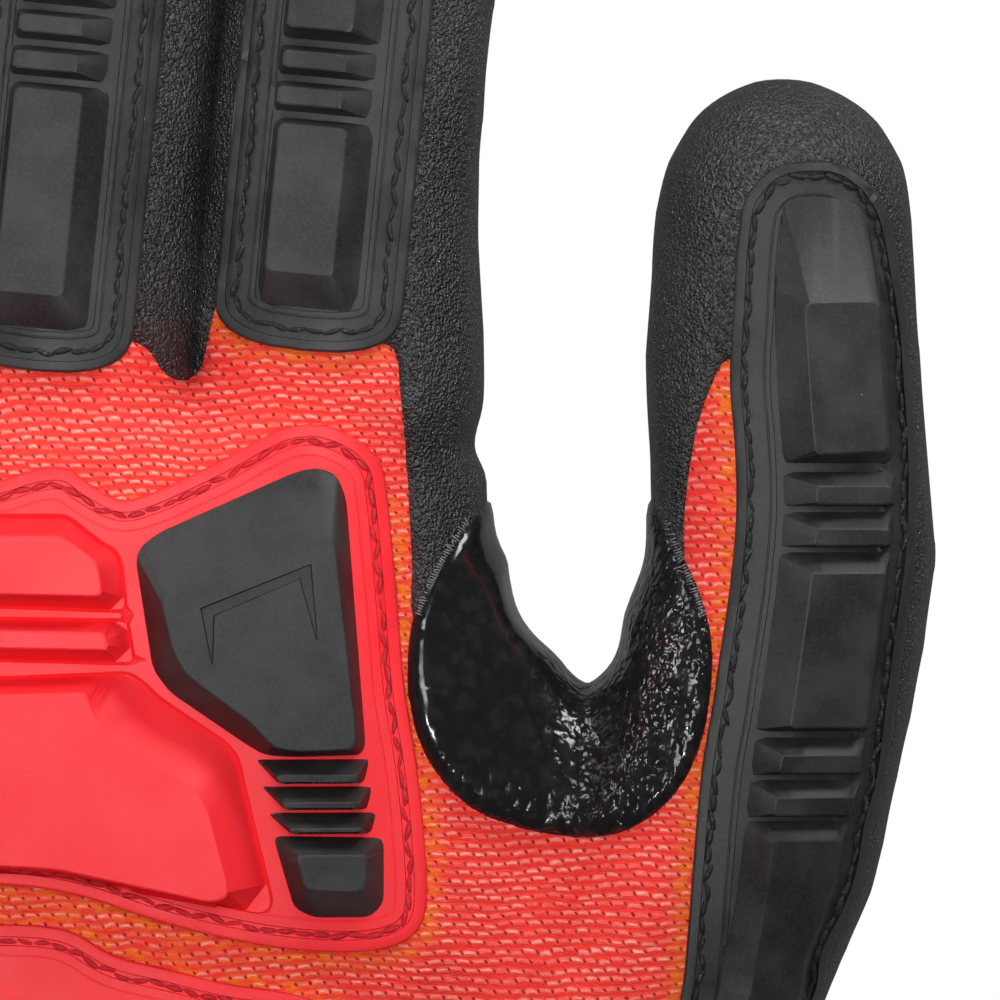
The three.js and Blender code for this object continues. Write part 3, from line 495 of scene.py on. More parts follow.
def pressed_together(vertices):
    """Forefinger and middle finger touch along a valley instead of leaving a slit."""
    x, y, z = vertices.T
    line = np.interp(y, VALLEY_Y, VALLEY_X)
    away = x - line
    push = VALLEY_PUSH * np.interp(y, (46.0, 54.0, 98.0, 112.0), (0.0, 1.0, 1.0, 0.0))
    share = np.clip(np.abs(away) / VALLEY_REACH, 0, 1)
    moved = np.maximum(np.abs(away) - push * (1 - share ** 2), np.minimum(np.abs(away), 0.15))
    result = vertices.copy()
    result[:, 0] = np.where(np.abs(away) < VALLEY_REACH, line + np.sign(away) * moved, x)
    return result


def let_out(vertices, faces):
    """Fuller sides of forefinger and thumb, and a rounder crotch between them."""
    outward = normals_of(vertices, faces)
    x, y, _ = vertices.T
    finger = np.interp(y, (36, 40, 44, 52, 62, 70), (0, 0.6, 1.2, 1.1, 0.4, 0)) * ((x > 36) & (x < 56))
    on_thumb = (x > 60) & (y > -30)
    right = np.interp(y, (-10, 10, 20, 35, 50, 62, 72), (-0.4, 0.1, 0.5, 0.4, 0.1, 0.3, 1.0)) * (on_thumb & (x > 74))
    left = np.interp(y, (40, 50, 58, 70, 80), (0, 0.5, 0.1, 0.1, 0.8)) * on_thumb
    result = vertices.copy()
    result[:, 0] += (finger + right) * np.clip(outward[:, 0], 0, 1) - left * np.clip(-outward[:, 0], 0, 1)
    result[:, 1] += np.interp(y, (66, 76), (0, 0.6)) * on_thumb * np.clip(outward[:, 1], 0, 1)
    for centre, radius, reach in CROTCH:
        away = result[:, :2] - centre
        gap = np.maximum(np.linalg.norm(away, axis=1), 1e-6)
        grown = np.where(gap < reach, radius + gap * (reach - radius) / reach, gap)
        result[:, :2] = np.array(centre) + away * (grown / gap)[:, None]
    return result


def skin():
    if "whole" not in _skin:
        sizes = bpy.context.scene.glove_sizes
        vertices, faces = remeshed(outer_island(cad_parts["knit_liner"]), sizes.voxel)
        vertices = let_out(pressed_together(smoothed(vertices, faces, sizes.smoothing)), faces)
        _skin["whole"] = Skin(vertices + KNIT_LIFT * normals_of(vertices, faces), faces)
    return _skin["whole"]


def normals_of(vertices, faces):
    triangles = np.array([[f[0], f[i], f[i + 1]] for f in faces for i in range(1, len(f) - 1)])
    a, b, c = (vertices[triangles[:, k]] for k in range(3))
    cross = np.cross(b - a, c - a)
    normals = np.zeros_like(vertices)
    for k in range(3):
        for axis in range(3):
            normals[:, axis] += np.bincount(triangles[:, k], cross[:, axis], len(vertices))
    return normals / np.maximum(np.linalg.norm(normals, axis=1, keepdims=True), 1e-12)


# Pieces
def add_piece(name, vertices, faces, material, nodes=(), sharp=None, uv=None, accent=None):
    """A piece from places in mm, riding on the glove."""
    data = bpy.data.meshes.new(name)
    data.from_pydata([tuple(v) for v in vertices * MM], [], faces)
    data.validate()
    data.materials.append(material)
    data.shade_smooth()
    if sharp is not None:
        data.set_sharp_from_angle(angle=math.radians(sharp))
    if uv is not None:
        layer = data.uv_layers.new(name="yarn")
        index = np.empty(len(data.loops), int)
        data.loops.foreach_get("vertex_index", index)
        layer.data.foreach_set("uv", uv[index].ravel())
    if accent is not None:
        data.attributes.new("accent", "FLOAT", "POINT").data.foreach_set("value", accent)
    piece = bpy.data.objects.new(name, data)
    bpy.context.scene.collection.objects.link(piece)
    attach(piece, "root")
    if nodes:
        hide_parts(*nodes)
    return piece


def cut_sheet(vertices, faces, field):
    """The part of a mesh where a field is positive, cut cleanly along its zero line."""
    triangles = np.array([[f[0], f[i], f[i + 1]] for f in faces for i in range(1, len(f) - 1)])
    field = np.where(np.abs(field) < 1e-4, 1e-4, field)
    positive = field[triangles] > 0
    counts = positive.sum(1)
    kept = [tuple(t) for t in triangles[counts == 3]]
    extra, lookup = [], {}

    def crossing(a, b):
        key = (a, b) if a < b else (b, a)
        if key not in lookup:
            share = field[key[0]] / (field[key[0]] - field[key[1]])
            lookup[key] = len(vertices) + len(extra)
            extra.append((key, share))
        return lookup[key]

    for triangle, flags in zip(triangles[(counts == 1) | (counts == 2)], positive[(counts == 1) | (counts == 2)]):
        turn = int(np.argmax(flags)) if flags.sum() == 1 else (int(np.argmin(flags)) + 1) % 3
        a, b, c = (int(triangle[(turn + k) % 3]) for k in range(3))
        if flags.sum() == 1:
            kept.append((a, crossing(a, b), crossing(a, c)))
        else:
            ca, bc = crossing(c, a), crossing(b, c)
            kept += [(a, b, bc), (a, bc, ca)]
    blend = np.array([v[0] for v in extra], int).reshape(-1, 2)
    share = np.array([v[1] for v in extra])[:, None]
    made = {"blend": blend, "share": share}

    def carried(values):
        values = values.reshape(len(values), -1)
        added = values[blend[:, 0]] * (1 - share) + values[blend[:, 1]] * share
        return np.vstack([values, added])

    made["carried"] = carried
    used = np.unique(np.array(kept))
    renumber = np.full(len(vertices) + len(extra), -1)
    renumber[used] = np.arange(len(used))
    made["faces"] = [tuple(int(renumber[i]) for i in t) for t in kept]
    made["used"] = used
    return made


def edge_height(distance, height, width, sink=-0.12):
    """Height of a dipped film that thins towards its edge."""
    share = np.clip(distance / width, 0, 1)
    return sink + (height - sink) * np.sqrt(1 - (1 - share) ** 2)


def yarn_places(vertices):
    """Places in mm along the knit's wales and courses: flat over the back, wrapped round the sides."""
    x, y, z = vertices.T
    half, middle, thick = 40.0, 16.0, 15.0
    centre = 2.0
    over = np.abs(x - centre) - (half - thick)
    angle = np.arctan2(np.maximum(over, 0), z - middle)
    side = np.sign(x - centre) * (half - thick + thick * angle)
    around = np.where((over > 0) & (y < -62), side, x - centre)
    return np.column_stack([around, y])


class Cloth:
    """Places and normals of the skin, with what the layers need."""

    def __init__(self, whole):
        self.vertices = whole.vertices
        self.faces = whole.faces
        self.normals = normals_of(whole.vertices, whole.faces)
        self.top = self.vertices[:, 2] > 17.5


def cloth():
    if "cloth" not in _skin:
        _skin["cloth"] = Cloth(skin())
    return _skin["cloth"]


def layer(field, height, width):
    """A film over the skin where the field, a distance in mm, is positive."""
    base = cloth()
    made = cut_sheet(base.vertices, base.faces, field)
    places, normals = made["carried"](base.vertices), made["carried"](base.normals)
    gap = made["carried"](field)[:, 0]
    normals /= np.maximum(np.linalg.norm(normals, axis=1, keepdims=True), 1e-9)
    lifted = places + normals * edge_height(np.maximum(gap, 0), height, width)[:, None]
    return lifted[made["used"]], made["faces"], gap[made["used"]]


# Moulded guards
def plane_through(places, heights):
    """A flat top's height as a function of place."""
    table = np.column_stack([places, np.ones(len(places))])
    solution, *_ = np.linalg.lstsq(table, heights, rcond=None)
    return lambda points: points @ solution[:2] + solution[2]


class Moulding:
    """A moulding described by contours seen from above, each with its heights."""

    def __init__(self):
        self.places, self.heights, self.edges = [], [], []
        self.count = 0

    def contour(self, points, heights, keep=None):
        """Adds a closed contour, or the parts of it that are kept, and returns where it starts."""
        start = self.count
        keep = np.ones(len(points), bool) if keep is None else keep
        index = np.cumsum(keep) - 1 + start
        self.places.append(points[keep])
        self.heights.append(np.broadcast_to(heights, len(points)).astype(float)[keep])
        self.count += int(keep.sum())
        for i in range(len(points)):
            j = (i + 1) % len(points)
            if keep[i] and keep[j]:
                self.edges.append((int(index[i]), int(index[j])))
        return start

    def scatter(self, points, heights):
        if len(points):
            self.places.append(points)
            self.heights.append(np.broadcast_to(heights, len(points)).astype(float))
            self.count += len(points)

    def surface(self, outline):
        places, heights = np.vstack(self.places), np.concatenate(self.heights)
        flat, _, faces, origins, _, _ = delaunay_2d_cdt([Vector(p) for p in places], self.edges, [], 0, 1e-4)
        flat = np.array([tuple(p) for p in flat])
        z = np.array([heights[o[0]] if o else np.nan for o in origins])
        known = ~np.isnan(z)
        for i in np.where(~known)[0]:
            z[i] = z[known][((flat[known] - flat[i]) ** 2).sum(1).argmin()]
        centres = np.array([flat[list(f)].mean(0) for f in faces])
        inside = signed_distance(centres, outline)[0] > -1e-3
        kept = []
        for face, keep in zip(faces, inside):
            if keep:
                turned = area_of(flat[list(face)]) < 0
                kept.append(tuple(reversed(face)) if turned else tuple(face))
        return np.column_stack([flat, z]), kept


def over_skin(points, rise):
    """Heights at a rise above the skin, thicker upright where the skin is steep."""
    top = skin().top(points)
    return top[:, 0] + rise / np.clip(top[:, 1], 0.6, 1.0)


def closed_below(vertices, faces, outline, depth):
    """Adds an underside that follows the skin inside the outline."""
    rim = resampled(outline, CONTOUR_STEP)
    under = Moulding()
    under.contour(rim, over_skin(rim, depth))
    inner = fill_points(outline, [], 3.0)
    under.scatter(inner, over_skin(inner, depth))
    places, below = under.surface(outline)
    start = len(vertices)
    flipped = [tuple(start + i for i in reversed(face)) for face in below]
    return np.vstack([vertices, places]), list(faces) + flipped


def nearest_index(points, place):
    return int(((points - place) ** 2).sum(1).argmin())


def add_block(moulding, block, foot_heights, base):
    """A raised block: its foot as given, its flat top on a plane, with softened edges."""
    foot = resampled(block["foot"], CONTOUR_STEP)
    top = resampled(block["top"], CONTOUR_STEP)
    inner, support = inset(top, EDGE_SOFTNESS), inset(top, EDGE_SOFTNESS + 0.14)
    flat = plane_through(top, skin().top(top)[:, 0])
    level = base + block["rise"]
    foot_start = moulding.contour(foot, foot_heights(foot))
    top_start = moulding.contour(top, flat(top) + level - EDGE_DROP)
    for ring in (inner, support):
        moulding.contour(ring, flat(ring) + level)
    for low, high in block.get("ridges", ()):
        moulding.edges.append((foot_start + nearest_index(foot, low), top_start + nearest_index(top, high)))
    inside = fill_points(support, block.get("keep_off", ()), 2.0)
    moulding.scatter(inside, flat(inside) + level if len(inside) else 0)
    return flat, level


def moulded(outline, profile, blocks):
    """A flanged moulding with blocks given by their foot, top and rise."""
    moulding = Moulding()
    feet = [block["foot"] for block in blocks]
    distances, levels = np.array(profile).T

    def clear_of_feet(points, margin):
        keep = np.ones(len(points), bool)
        for foot in feet:
            keep &= signed_distance(points, foot)[0] < -margin
        return keep

    def profile_height(points):
        return over_skin(points, np.interp(signed_distance(points, outline)[0], distances, levels))

    for distance, level in profile:
        ring = inset(outline, distance) if distance > 0 else resampled(outline, CONTOUR_STEP)
        moulding.contour(ring, over_skin(ring, level), clear_of_feet(ring, 0.1) if distance > 0 else None)
    base = profile[-1][1]
    for block in blocks:
        groove = block.get("groove", 0.0)
        if groove:
            ring = inset(block["foot"], -0.35)
            moulding.contour(ring, profile_height(ring), clear_of_feet(ring, 0.3))
        add_block(moulding, block, lambda points: profile_height(points) - groove, base)
    field = fill_points(inset(outline, profile[-1][0]), [], FILL_STEP)
    field = field[clear_of_feet(field, 0.35)] if len(field) else field
    moulding.scatter(field, over_skin(field, base) if len(field) else 0)
    vertices, faces = moulding.surface(outline)
    return closed_below(vertices, faces, outline, profile[0][1])


def cornered(corners, step):
    """A closed outline with points along each side, corners kept."""
    result = []
    for a, b in zip(corners, np.roll(corners, -1, axis=0)):
        count = max(1, int(round(np.linalg.norm(b - a) / step)))
        result.append(a + np.linspace(0, 1, count, endpoint=False)[:, None] * (b - a))
    return np.vstack(result)


def engraved(moulding, outer, inner, height, depth):
    """A bracket cut in, with steep walls and legs that run out to the surface."""
    lip = np.vstack([outer, inner])
    middle = [outer[1], outer[2]]
    heart = [(outer[1] + inner[-1]) / 2, (outer[2] + inner[0]) / 2]
    bed, drop = [], []
    for point, towards, move, deep in (
            (outer[0], heart[0], 1.3, 0.35), (outer[1], heart[0], 0.2, 1.0), (outer[2], heart[1], 0.2, 1.0),
            (outer[3], heart[1], 1.3, 0.35), (inner[0], middle[1], 0.16, 1.0), (inner[1], middle[1], 0.16, 1.0),
            (inner[2], middle[0], 0.16, 1.0)):
        bed.append(point + (towards - point) / np.linalg.norm(towards - point) * move)
        drop.append(deep)
    line = cornered(lip, 0.5)
    moulding.contour(line, height(line))
    bed, drop = np.array(bed), np.array(drop)
    floor = cornered(bed, 0.5)
    nearest = ((floor[:, None] - bed[None]) ** 2).sum(2).argsort(1)[:, :2]
    first, second = (np.linalg.norm(floor - bed[nearest[:, k]], axis=1) for k in (0, 1))
    share = first / np.maximum(first + second, 1e-9)
    deep = drop[nearest[:, 0]] * (1 - share) + drop[nearest[:, 1]] * share
    moulding.contour(floor, height(floor) - depth * deep)


def pad(block, base, recess=None, depth=0.45):
    """A black pad whose foot is sunk into what carries it, with an engraved mark if wanted."""
    moulding = Moulding()
    foot = block["foot"]
    wall = inset(foot, 0.1)
    ring = resampled(foot, CONTOUR_STEP)
    moulding.contour(ring, over_skin(ring, base - 0.4))
    risen = dict(block, foot=wall)
    if recess is not None:
        risen["keep_off"] = [np.vstack(recess)]
    flat, level = add_block(moulding, risen, lambda points: over_skin(points, base + 0.35), base)
    if recess is not None:
        engraved(moulding, *recess, lambda points: flat(points) + level, depth)
    vertices, faces = moulding.surface(foot)
    return closed_below(vertices, faces, foot, base - 0.4)


# Strips that guards follow
def finger_place(guard):
    angle = math.radians(guard["heading"])
    along, across = np.array([math.sin(angle), math.cos(angle)]), np.array([math.cos(angle), -math.sin(angle)])
    foot = np.array(guard["foot"])
    return lambda s, a: foot + s * along + a * guard["turn"] * across


def strip_outline(place, length, half, end=5.0, power=2.6, steps=7):
    """A long outline with softly squared ends."""
    def edge(s):
        near = min(s, length - s)
        share = max(0.0, 1 - near / end)
        return half * max(0.0, 1 - share ** power) ** (1 / power)

    shares = np.sin(np.linspace(0, math.pi / 2, steps))
    ends = [end * (1 - share) for share in shares[::-1]]
    stations = ends + list(np.linspace(end, length - end, 12)[1:-1]) + [length - s for s in ends[::-1]]
    right = [place(s, edge(s)) for s in stations]
    left = [place(s, -edge(s)) for s in reversed(stations)]
    return resampled(np.array(right + left), 0.5)


def with_ridges(foot, top, rise, radius):
    """A block between two four-cornered outlines, with ridges from corner to corner."""
    if area_of(foot) < 0:
        foot, top = foot[::-1], top[::-1]
    return {"foot": rounded(foot, radius), "top": rounded(top, 0.5 * radius), "rise": rise,
            "ridges": list(zip(foot, top))}


def quad(place, block, start, end):
    """A block on a strip, from one place along it to another."""
    near, far, left, right = block["tops"]
    a, b = block["left"], block["right"]
    foot = [place(start, a), place(start, b), place(end, b), place(end, a)]
    top = [
        place(start + near, a + left), place(start + near, b - right),
        place(end - far, b - right), place(end - far, a + left),
    ]
    return with_ridges(np.array(foot), np.array(top), block["rise"], block["round"])


def finger_blocks(guard):
    """The blocks of one finger guard."""
    place = finger_place(guard)
    marks = {"foot": 0.0, "knuckle": guard["knuckle"], "tip": guard["length"]}
    result = []
    for block in FINGER_BLOCKS:
        fitted = dict(block)
        for side in ("left", "right"):
            fitted[side] = block[side] * guard["width"] / 18.9
        start, end = marks[block["near"]] + block["from"], marks[block["far"]] + block["to"]
        result.append(quad(place, fitted, start, end))
    return result


def thumb_outline():
    outline = np.vstack([scaled(THUMB_LEFT), scaled(THUMB_RIGHT)[::-1]])
    return curve(outline if area_of(outline) > 0 else outline[::-1])


def thumb_blocks():
    """The tip block and the blocks below it."""
    left, right = scaled(THUMB_LEFT)[::-1], scaled(THUMB_RIGHT)[::-1]

    def at(y, share, shift=0.0):
        low, high = np.interp(y, left[:, 1], left[:, 0]), np.interp(y, right[:, 1], right[:, 0])
        return np.array([low + share * (high - low) + shift, y])

    tip_foot, tip_top = scaled(TIP_FOOT), scaled(TIP_TOP)
    result = [{"foot": rounded(tip_foot, 0.6), "top": rounded(tip_top, 0.3), "rise": 3.0,
               "ridges": [(tip_foot[foot], tip_top[top]) for foot, top in TIP_RIDGES]}]
    for block in THUMB_BLOCKS:
        near, far, inset_left, inset_right = block["tops"]
        start, end = block["from"], block["to"]
        steps = max(2, int(abs(end - start) / 3))
        foot_y, top_y = np.linspace(start, end, steps), np.linspace(start - near, end + far, steps)
        foot = np.array([at(y, block["left"]) for y in foot_y] + [at(y, block["right"]) for y in foot_y[::-1]])
        top = np.array([at(y, block["left"], inset_left) for y in top_y]
                       + [at(y, block["right"], -inset_right) for y in top_y[::-1]])
        if area_of(foot) < 0:
            foot, top = foot[::-1], top[::-1]
        corners = (0, steps - 1, steps, 2 * steps - 1)
        result.append({"foot": rounded(foot, block["round"]), "top": rounded(top, 0.5 * block["round"]),
                       "rise": block["rise"], "ridges": [(foot[i], top[i]) for i in corners]})
    return result


# Stitching
def tube(places, radii, sides=6):
    """A closed thread through places, with its own thickness at each."""
    places = np.array(places)
    along = np.gradient(places, axis=0)
    along /= np.linalg.norm(along, axis=1, keepdims=True)
    across = np.cross((0.0, 0.0, 1.0), along) + 1e-6
    across /= np.linalg.norm(across, axis=1, keepdims=True)
    up = np.cross(along, across)
    turns = 2 * math.pi * np.arange(sides) / sides
    ring = across[:, None] * np.cos(turns)[None, :, None] + up[:, None] * np.sin(turns)[None, :, None]
    vertices = (places[:, None] + ring * np.array(radii)[:, None, None]).reshape(-1, 3)
    count = len(places)
    faces = [tuple(reversed(range(sides))), tuple(range((count - 1) * sides, count * sides))]
    for r in range(count - 1):
        for k in range(sides):
            here, after = r * sides + k, r * sides + (k + 1) % sides
            faces.append((here, after, after + sides, here + sides))
    return vertices, faces


def joined(parts):
    """Several meshes as one."""
    vertices, faces, start = [], [], 0
    for part, polygons in parts:
        vertices.append(part)
        faces += [tuple(start + i for i in polygon) for polygon in polygons]
        start += len(part)
    return np.vstack(vertices), faces


def stitches(path, lift, length, radius, seed, sway=0.13, kept=1.0):
    """Small threads lying end to end along a closed path, each a little out of line."""
    rng = np.random.default_rng(seed)
    ring = resampled(path, length)
    heights = over_skin(ring, lift)
    shares = np.linspace(-0.06, 1.06, 8)
    thick = 0.3 + 0.7 * np.sin(np.pi * (0.05 + 0.9 * np.linspace(0, 1, 8))) ** 0.6
    parts = []
    for i in range(len(ring)):
        here, after = (np.array([*ring[k], heights[k]]) for k in (i, (i + 1) % len(ring)))
        if rng.random() > kept:
            continue
        along = (after - here) / np.linalg.norm(after - here)
        across = np.cross((0.0, 0.0, 1.0), along)
        across /= np.linalg.norm(across)
        lean = rng.normal(0, 0.8 * sway) + (sway if i % 2 else -sway)
        shift, grow, arch = rng.normal(0, 0.5 * sway), 1 + rng.normal(0, 0.14), rng.normal(0.0, 0.5 * sway)
        side = shift + lean * (2 * shares - 1) + arch * np.sin(np.pi * shares)
        dip = 0.26 * (2 * shares - 1) ** 2 + rng.normal(0, 0.05)
        places = here + shares[:, None] * (after - here) + side[:, None] * across
        places[:, 2] -= dip
        parts.append(tube(places, radius * grow * thick))
    return joined(parts)


# Materials
class Group:
    """A shader node group that is written as sums and products."""

    def __init__(self, name, inputs, outputs):
        self.tree = bpy.data.node_groups.new(name, "ShaderNodeTree")
        for label, kind, default in inputs:
            socket = self.tree.interface.new_socket(label, in_out="INPUT", socket_type=kind)
            if default is not None:
                socket.default_value = default
        for label, kind in outputs:
            self.tree.interface.new_socket(label, in_out="OUTPUT", socket_type=kind)
        self.inputs = self.tree.nodes.new("NodeGroupInput").outputs
        self.outputs = self.tree.nodes.new("NodeGroupOutput").inputs

    def node(self, kind, settings=None, **inputs):
        made = self.tree.nodes.new("ShaderNode" + kind)
        for key, value in (settings or {}).items():
            setattr(made, key, value)
        for key, value in inputs.items():
            self.feed(made.inputs[key.replace("_", " ")], value)
        return made

    def feed(self, socket, value):
        if isinstance(value, bpy.types.NodeSocket):
            self.tree.links.new(value, socket)
        else:
            socket.default_value = value

    def math(self, operation, *values, clamp=False):
        made = self.tree.nodes.new("ShaderNodeMath")
        made.operation = operation
        made.use_clamp = clamp
        for socket, value in zip(made.inputs, values):
            self.feed(socket, value)
        return made.outputs[0]

    def step(self, value, low, high):
        """0 below low, 1 above high, smooth between."""
        made = self.node("MapRange", {"interpolation_type": "SMOOTHSTEP"})
        for socket, number in zip(made.inputs[:5], (value, low, high, 0.0, 1.0)):
            self.feed(socket, number)
        return made.outputs[0]

    def span(self, value, low, high):
        """The share value moves between low and high."""
        made = self.node("MapRange")
        for socket, number in zip(made.inputs[:5], (value, 0.0, 1.0, low, high)):
            self.feed(socket, number)
        return made.outputs[0]

    def noise(self, places, scale, detail=2.0, roughness=0.5):
        return self.node("TexNoise", Vector=places, Scale=scale, Detail=detail, Roughness=roughness).outputs[0]

    def blend(self, share, a, b):
        made = self.tree.nodes.new("ShaderNodeMix")
        made.data_type = "RGBA"
        self.feed(made.inputs[0], share)
        self.feed(made.inputs[6], a)
        self.feed(made.inputs[7], b)
        return made.outputs[2]

    def place(self):
        return self.node("TexCoord").outputs["Object"]

    def scaled(self, places, x, y, z):
        return self.node("Mapping", Vector=places, Scale=(x, y, z)).outputs[0]


def grain_group():
    """Sandy grain: height, the polished tops of some grains with their roughness, and a tone that wanders."""
    group = Group("sandy_grain", [("Size", "NodeSocketFloat", 4200.0)],
                  [("Height", "NodeSocketFloat"), ("Grains", "NodeSocketFloat"), ("Roughness", "NodeSocketFloat"),
                   ("Tone", "NodeSocketFloat")])
    places = group.place()
    size = group.inputs["Size"]
    fine = group.noise(places, size, 1.0, 0.5)
    coarse = group.noise(places, group.math("MULTIPLY", size, 0.32), 2.0, 0.5)
    lumps = group.node("TexVoronoi", Vector=places, Scale=size)
    chance = group.node("TexWhiteNoise", Vector=lumps.outputs["Position"]).outputs[0]
    round_top = group.math("SUBTRACT", 1.0, group.step(lumps.outputs["Distance"], 0.05, 0.6))
    height = group.math("ADD", fine, group.math("MULTIPLY", coarse, 0.6))
    height = group.math("ADD", height, group.math("MULTIPLY", round_top, 0.35))
    spot = group.math("SUBTRACT", 1.0, group.step(lumps.outputs["Distance"], 0.15, 0.5))
    group.feed(group.outputs["Height"], height)
    grains = group.math("MULTIPLY", spot, group.step(chance, 0.12, 1.1))
    group.feed(group.outputs["Grains"], grains)
    group.feed(group.outputs["Roughness"], group.span(group.step(grains, 0.1, 0.6), 0.45, 0.14))
    group.feed(group.outputs["Tone"], group.step(group.noise(places, 90.0, 3.0), 0.3, 0.7))
    return group.tree


def rubber_group():
    """Moulded rubber: faint mottling, skin grain and specks of dust."""
    group = Group("moulded_rubber", [("Base", "NodeSocketColor", None), ("Worn", "NodeSocketColor", None)],
                  [("Color", "NodeSocketColor"), ("Height", "NodeSocketFloat"), ("Roughness", "NodeSocketFloat")])
    places = group.place()
    mottle = group.step(group.noise(places, 140.0, 4.0, 0.6), 0.35, 0.7)
    skin_grain = group.noise(places, 3000.0, 2.0, 0.6)
    dots = group.node("TexVoronoi", Vector=places, Scale=420.0)
    chance = group.node("TexWhiteNoise", Vector=dots.outputs["Position"]).outputs[0]
    size = group.math("MULTIPLY", group.step(chance, 0.93, 1.0), 0.055)
    dust = group.math("LESS_THAN", dots.outputs["Distance"], size)
    tone = group.blend(group.math("MULTIPLY", mottle, 0.5), group.inputs["Base"], group.inputs["Worn"])
    tone = group.blend(group.math("MULTIPLY", group.step(skin_grain, 0.4, 0.75), 0.35), tone, group.inputs["Worn"])
    group.feed(group.outputs["Color"], group.blend(group.math("MULTIPLY", dust, 0.4), tone, (0.5, 0.45, 0.42, 1)))
    group.feed(group.outputs["Height"], group.math("ADD", skin_grain, group.math("MULTIPLY", dust, 2.0)))
    group.feed(group.outputs["Roughness"], group.span(mottle, 0.5, 0.6))
    return group.tree


